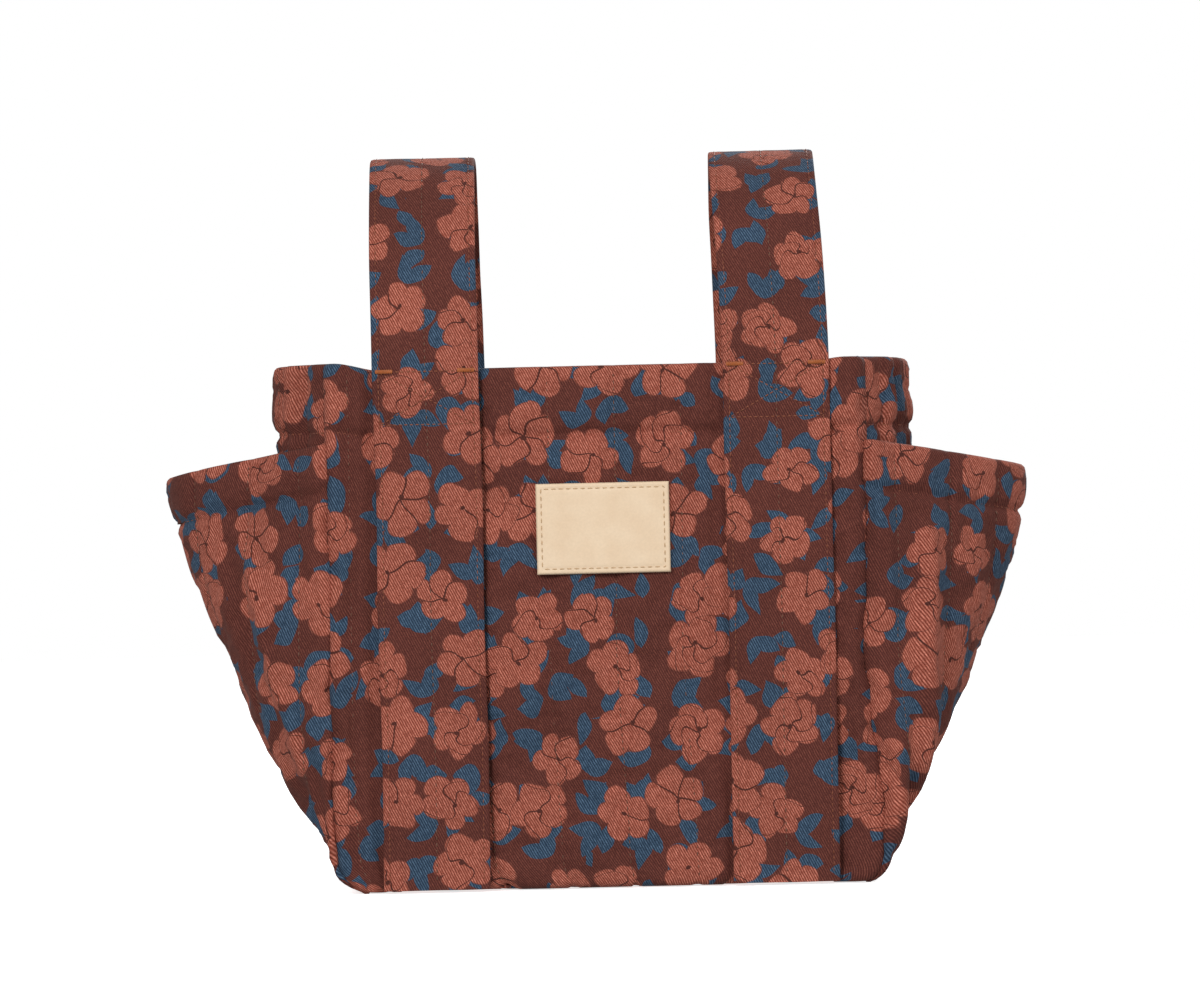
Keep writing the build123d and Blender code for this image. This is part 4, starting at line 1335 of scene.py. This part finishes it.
def sew(name, surface, lines, thread, pitch=2.5, length=1.6, width=0.46, lift=0.1, bend=None):
    """Rows of stitches on a laid cloth. A line is a list of (u, v) corners.

    They ride with the bag, or, when a bend is given, stay where they are laid.
    """
    bm = bmesh.new()
    for line in lines:
        corners = np.array(line, float)
        far = along_line(corners)
        first = min(pitch * 0.3, (far[-1] - length) / 2)
        for start in np.arange(first, far[-1] - length * 0.6, pitch):
            spots = [
                [np.interp(start + part * length, far, corners[:, k]) for k in (0, 1)]
                for part in (0, 0.5, 1)
            ]
            point, normal, along_u, along_v = surface.at(*spots[1])
            step = np.subtract(spots[2], spots[0])
            run = along_u * step[0] + along_v * step[1]
            size = np.linalg.norm(run)
            if size < 0.2 * length or size > 3 * length:
                continue
            run /= size
            normal = normal - run * (normal @ run)
            normal /= np.linalg.norm(normal)
            across = np.cross(normal, run)
            axes = [run * size / 2, across * width / 2, normal * width * 0.42]
            turn = Matrix(np.column_stack(axes) * MM)
            one = ONE_STITCH.copy()
            one.transform(Matrix.Translation((point + normal * lift) * MM) @ turn.to_4x4())
            bm.from_mesh(one)
            bpy.data.meshes.remove(one)
    mesh = bpy.data.meshes.new(name)
    bm.to_mesh(mesh)
    bm.free()
    piece = bpy.data.objects.new(name, mesh)
    bpy.context.scene.collection.objects.link(piece)
    piece.data.materials.append(thread)
    if bend:
        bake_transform(piece)
    else:
        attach(piece, "bag")
    return piece


def between(low, high, first=FIRST_LINE, pitch=QUILT_PITCH):
    """The places of the quilting lines between two limits."""
    count = math.ceil((low - first) / pitch)
    lines = []
    while first + count * pitch < high:
        lines.append(first + count * pitch)
        count += 1
    return lines


for name in ("front", "back"):
    surface = Surface(WALLS[name])
    top = HEIGHT - RIM_RADIUS - 0.5
    lines = []
    for u in between(-HALF_WIDTH + 4, HALF_WIDTH - 4):
        if STRAP_X - STRAP_HALF - 1 < abs(u) < STRAP_X + STRAP_HALF + 1:
            continue
        if name == "front" and abs(u) < PATCH_HIGH.x:
            lines += [[(u, 3), (u, PATCH_LOW.z - 1)], [(u, PATCH_HIGH.z + 1), (u, top)]]
        else:
            lines.append([(u, 3), (u, top)])
    sew(f"{name}_quilting", surface, lines, BROWN_THREAD)
    inner, outer = STRAP_X - STRAP_HALF, STRAP_X + STRAP_HALF
    hems = [(-HALF_WIDTH + 1, -outer), (-inner, inner), (outer, HALF_WIDTH - 1)]
    sew(
        f"{name}_hem_stitches",
        surface,
        [[(a, HEM_SEAM_Z), (b, HEM_SEAM_Z)] for a, b in hems],
        RUST_THREAD,
        length=1.8,
    )

for name in ("left_side", "right_side"):
    wall = WALLS[name]
    surface = Surface(wall)
    lines = [[(u, 3), (u, HEIGHT - RIM_RADIUS - 0.5)] for u in between(-60, 60, 0.0)]
    sew(f"{name}_quilting", surface, lines, BROWN_THREAD)
    end = wall["u"][-20].max()
    seam = [(-end, HEM_SEAM_Z), (end, HEM_SEAM_Z)]
    sew(f"{name}_hem_stitches", surface, [seam], RUST_THREAD)

for name, pocket in POCKETS.items():
    surface = Surface(pocket)
    lines = []
    for u in between(3, pocket["u"].max() - 3, 15.0):
        wide_enough = u < pocket["u"].max(axis=1) - 2
        low = pocket["v"].mean(axis=1)[wide_enough].min()
        column = int(np.argmin(np.abs(pocket["u"][-1] - u)))
        lines.append([(u, max(low, 3)), (u, pocket["v"][-1, column] - 0.5)])
    sew(f"{name}_quilting", surface, lines, BROWN_THREAD)
    rim_u, rim_z = pocket["u"][-1], pocket["top"] - POCKET_HEM
    order = np.argsort(rim_u)[2:-2:4]
    sew(
        f"{name}_hem_stitches", surface, [list(zip(rim_u[order], rim_z[order]))], RUST_THREAD
    )

# straps: a quilting line down the middle, topstitching near both edges, and below the rim a
# box with a cross in it; dense bar tacks hold the free strap's foot
for name in ("left", "right"):
    strap = STRAPS[name]
    surface = strap["surface"] = Surface(strap)
    far_end = strap["v"].max()
    join_v = strap["v"][join_row, 0]
    front_body, back_body = f"{name}_strap_front", f"{name}_strap_back"
    for part, low, high, bend in (
        ("sewn", 3.0, join_v - 0.4, (("bag", front_body), strap["rim_bend"])),
        ("free", join_v + 0.4, far_end - 3.0, ((front_body, back_body), strap["top_bend"])),
    ):
        line = [(0, low), (0, high)]
        sew(f"{name}_strap_{part}_quilting", surface, [line], BROWN_THREAD, bend=bend)
        sew(
            f"{name}_strap_{part}_topstitch",
            surface,
            [[(a, low), (a, high)] for a in (-EDGE_STITCH, EDGE_STITCH)],
            RUST_THREAD,
            pitch=2.2,
            length=1.5,
            width=0.4,
            bend=bend,
        )
    box = [(a * BOX_HALF, BOX_BOTTOM) for a in (-1, 1)] + [(a * BOX_HALF, BOX_TOP) for a in (1, -1)]
    sew(
        f"{name}_anchor_box",
        surface,
        [[*box, box[0]], [box[0], box[2]], [box[1], box[3]]],
        RUST_THREAD,
        pitch=2.1,
        length=1.45,
        width=0.5,
        lift=0.16,
    )
    strip = Surface(STRAPS[name + "_back"])
    strip_lines = [[(a, 3), (a, HEIGHT - 3)] for a in (-EDGE_STITCH, EDGE_STITCH)]
    sew(f"{name}_back_strip_topstitch", strip, strip_lines, RUST_THREAD)

TACK_LOW, TACK_HIGH = (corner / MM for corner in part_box("bar_tacks"))
TACK_HALF, TACK_PLACE = 3.1, 15.4
middle_v = (TACK_LOW.z + TACK_HIGH.z) / 2
for name in ("left", "right"):
    lines = []
    for end in (-1, 1):
        for a in np.arange(-TACK_HALF, TACK_HALF + 0.01, 0.34):
            u = end * TACK_PLACE + a
            lean = 0.12 * math.sin(a * 9.0)
            lines.append([(u - lean, middle_v - 0.9), (u + lean, middle_v + 0.9)])
    surface = STRAPS[name]["surface"]
    tack = sew(f"{name}_bar_tacks", surface, lines, ORANGE_THREAD, 3.0, 1.75, 0.5, 0.25)
    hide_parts("bar_tacks")

patch_surface = Surface({"points": patch_points, "u": patch_x, "v": patch_z})
near, far = PATCH_LOW.x + PATCH_MARGIN, PATCH_HIGH.x - PATCH_MARGIN
low, high = PATCH_LOW.z + PATCH_MARGIN, PATCH_HIGH.z - PATCH_MARGIN
sew(
    "patch_stitches",
    patch_surface,
    [[(near, low), (far, low), (far, high), (near, high), (near, low)]],
    BEIGE_THREAD,
    pitch=2.75,
    length=1.9,
    width=0.5,
)

# ---------------------------------------------------------------- the studio
# A sheet of white paper under the bag, an even white room, a large soft lamp high on the left
# and weaker ones on the right and behind. The camera stands level with the bag's upper half,
# and leans a little.

CAMERA_PLACE = (-0.0009, -2.56, 0.1455)
CAMERA_LEAN = math.radians(1.35)
ROOM_GLOW = 0.45
PAPER_GLOW = 0.72
LAMPS = (
    ("key_light", (-0.9, -2.0, 1.15), 0.7, 29.0),
    ("fill_light", (1.3, -1.4, 0.9), 0.9, 11.0),
    ("back_light", (0.7, 1.9, 1.2), 1.0, 26.0),
)

camera_data = bpy.data.cameras.new("camera")
camera_data.sensor_width = 36.0
camera_data.lens = 200.0
camera = bpy.data.objects.new("camera", camera_data)
bpy.context.scene.collection.objects.link(camera)
camera.matrix_world = (
    Matrix.Translation(CAMERA_PLACE)
    @ Matrix.Rotation(CAMERA_LEAN, 4, "Y")
    @ Matrix.Rotation(math.pi / 2, 4, "X")
)
bpy.context.scene.camera = camera
bpy.context.scene.view_settings.view_transform = "Standard"

world = bpy.data.worlds.new("white_room")
bpy.context.scene.world = world
world.use_nodes = True
world.node_tree.nodes.clear()
add = partial(add_node, world.node_tree)
# the room is seen as white and lights the bag less
seen = add("LightPath").outputs["Is Camera Ray"]
strength = add("Math", "MULTIPLY_ADD", seen, 1 - ROOM_GLOW, ROOM_GLOW)
add("OutputWorld", add("Background", (1, 1, 1, 1), strength))

for name, place, size, power in LAMPS:
    lamp = bpy.data.lights.new(name, "AREA")
    lamp.size = size
    lamp.energy = power
    light = bpy.data.objects.new(name, lamp)
    bpy.context.scene.collection.objects.link(light)
    light.location = place
    aim = Vector((0, 0, 0.12)) - Vector(place)
    light.rotation_euler = aim.to_track_quat("-Z", "Y").to_euler()

floor_mesh = bpy.data.meshes.new("floor")
bm = bmesh.new()
bmesh.ops.create_grid(
    bm, x_segments=1, y_segments=1, size=4.0, matrix=Matrix.Translation((0, 0, -0.3 * MM))
)
bm.to_mesh(floor_mesh)
bm.free()
floor = bpy.data.objects.new("floor", floor_mesh)
bpy.context.scene.collection.objects.link(floor)
paper, add = new_material("white_paper")
sheet_of_paper = add(
    "BsdfPrincipled",
    {
        "Base Color": linear("#f2f2f2"),
        "Roughness": 0.9,
        "Emission Color": (1, 1, 1, 1),
        "Emission Strength": PAPER_GLOW,
    },
)
add("OutputMaterial", sheet_of_paper)
floor_mesh.materials.append(paper)
floor.visible_diffuse = floor.visible_glossy = False
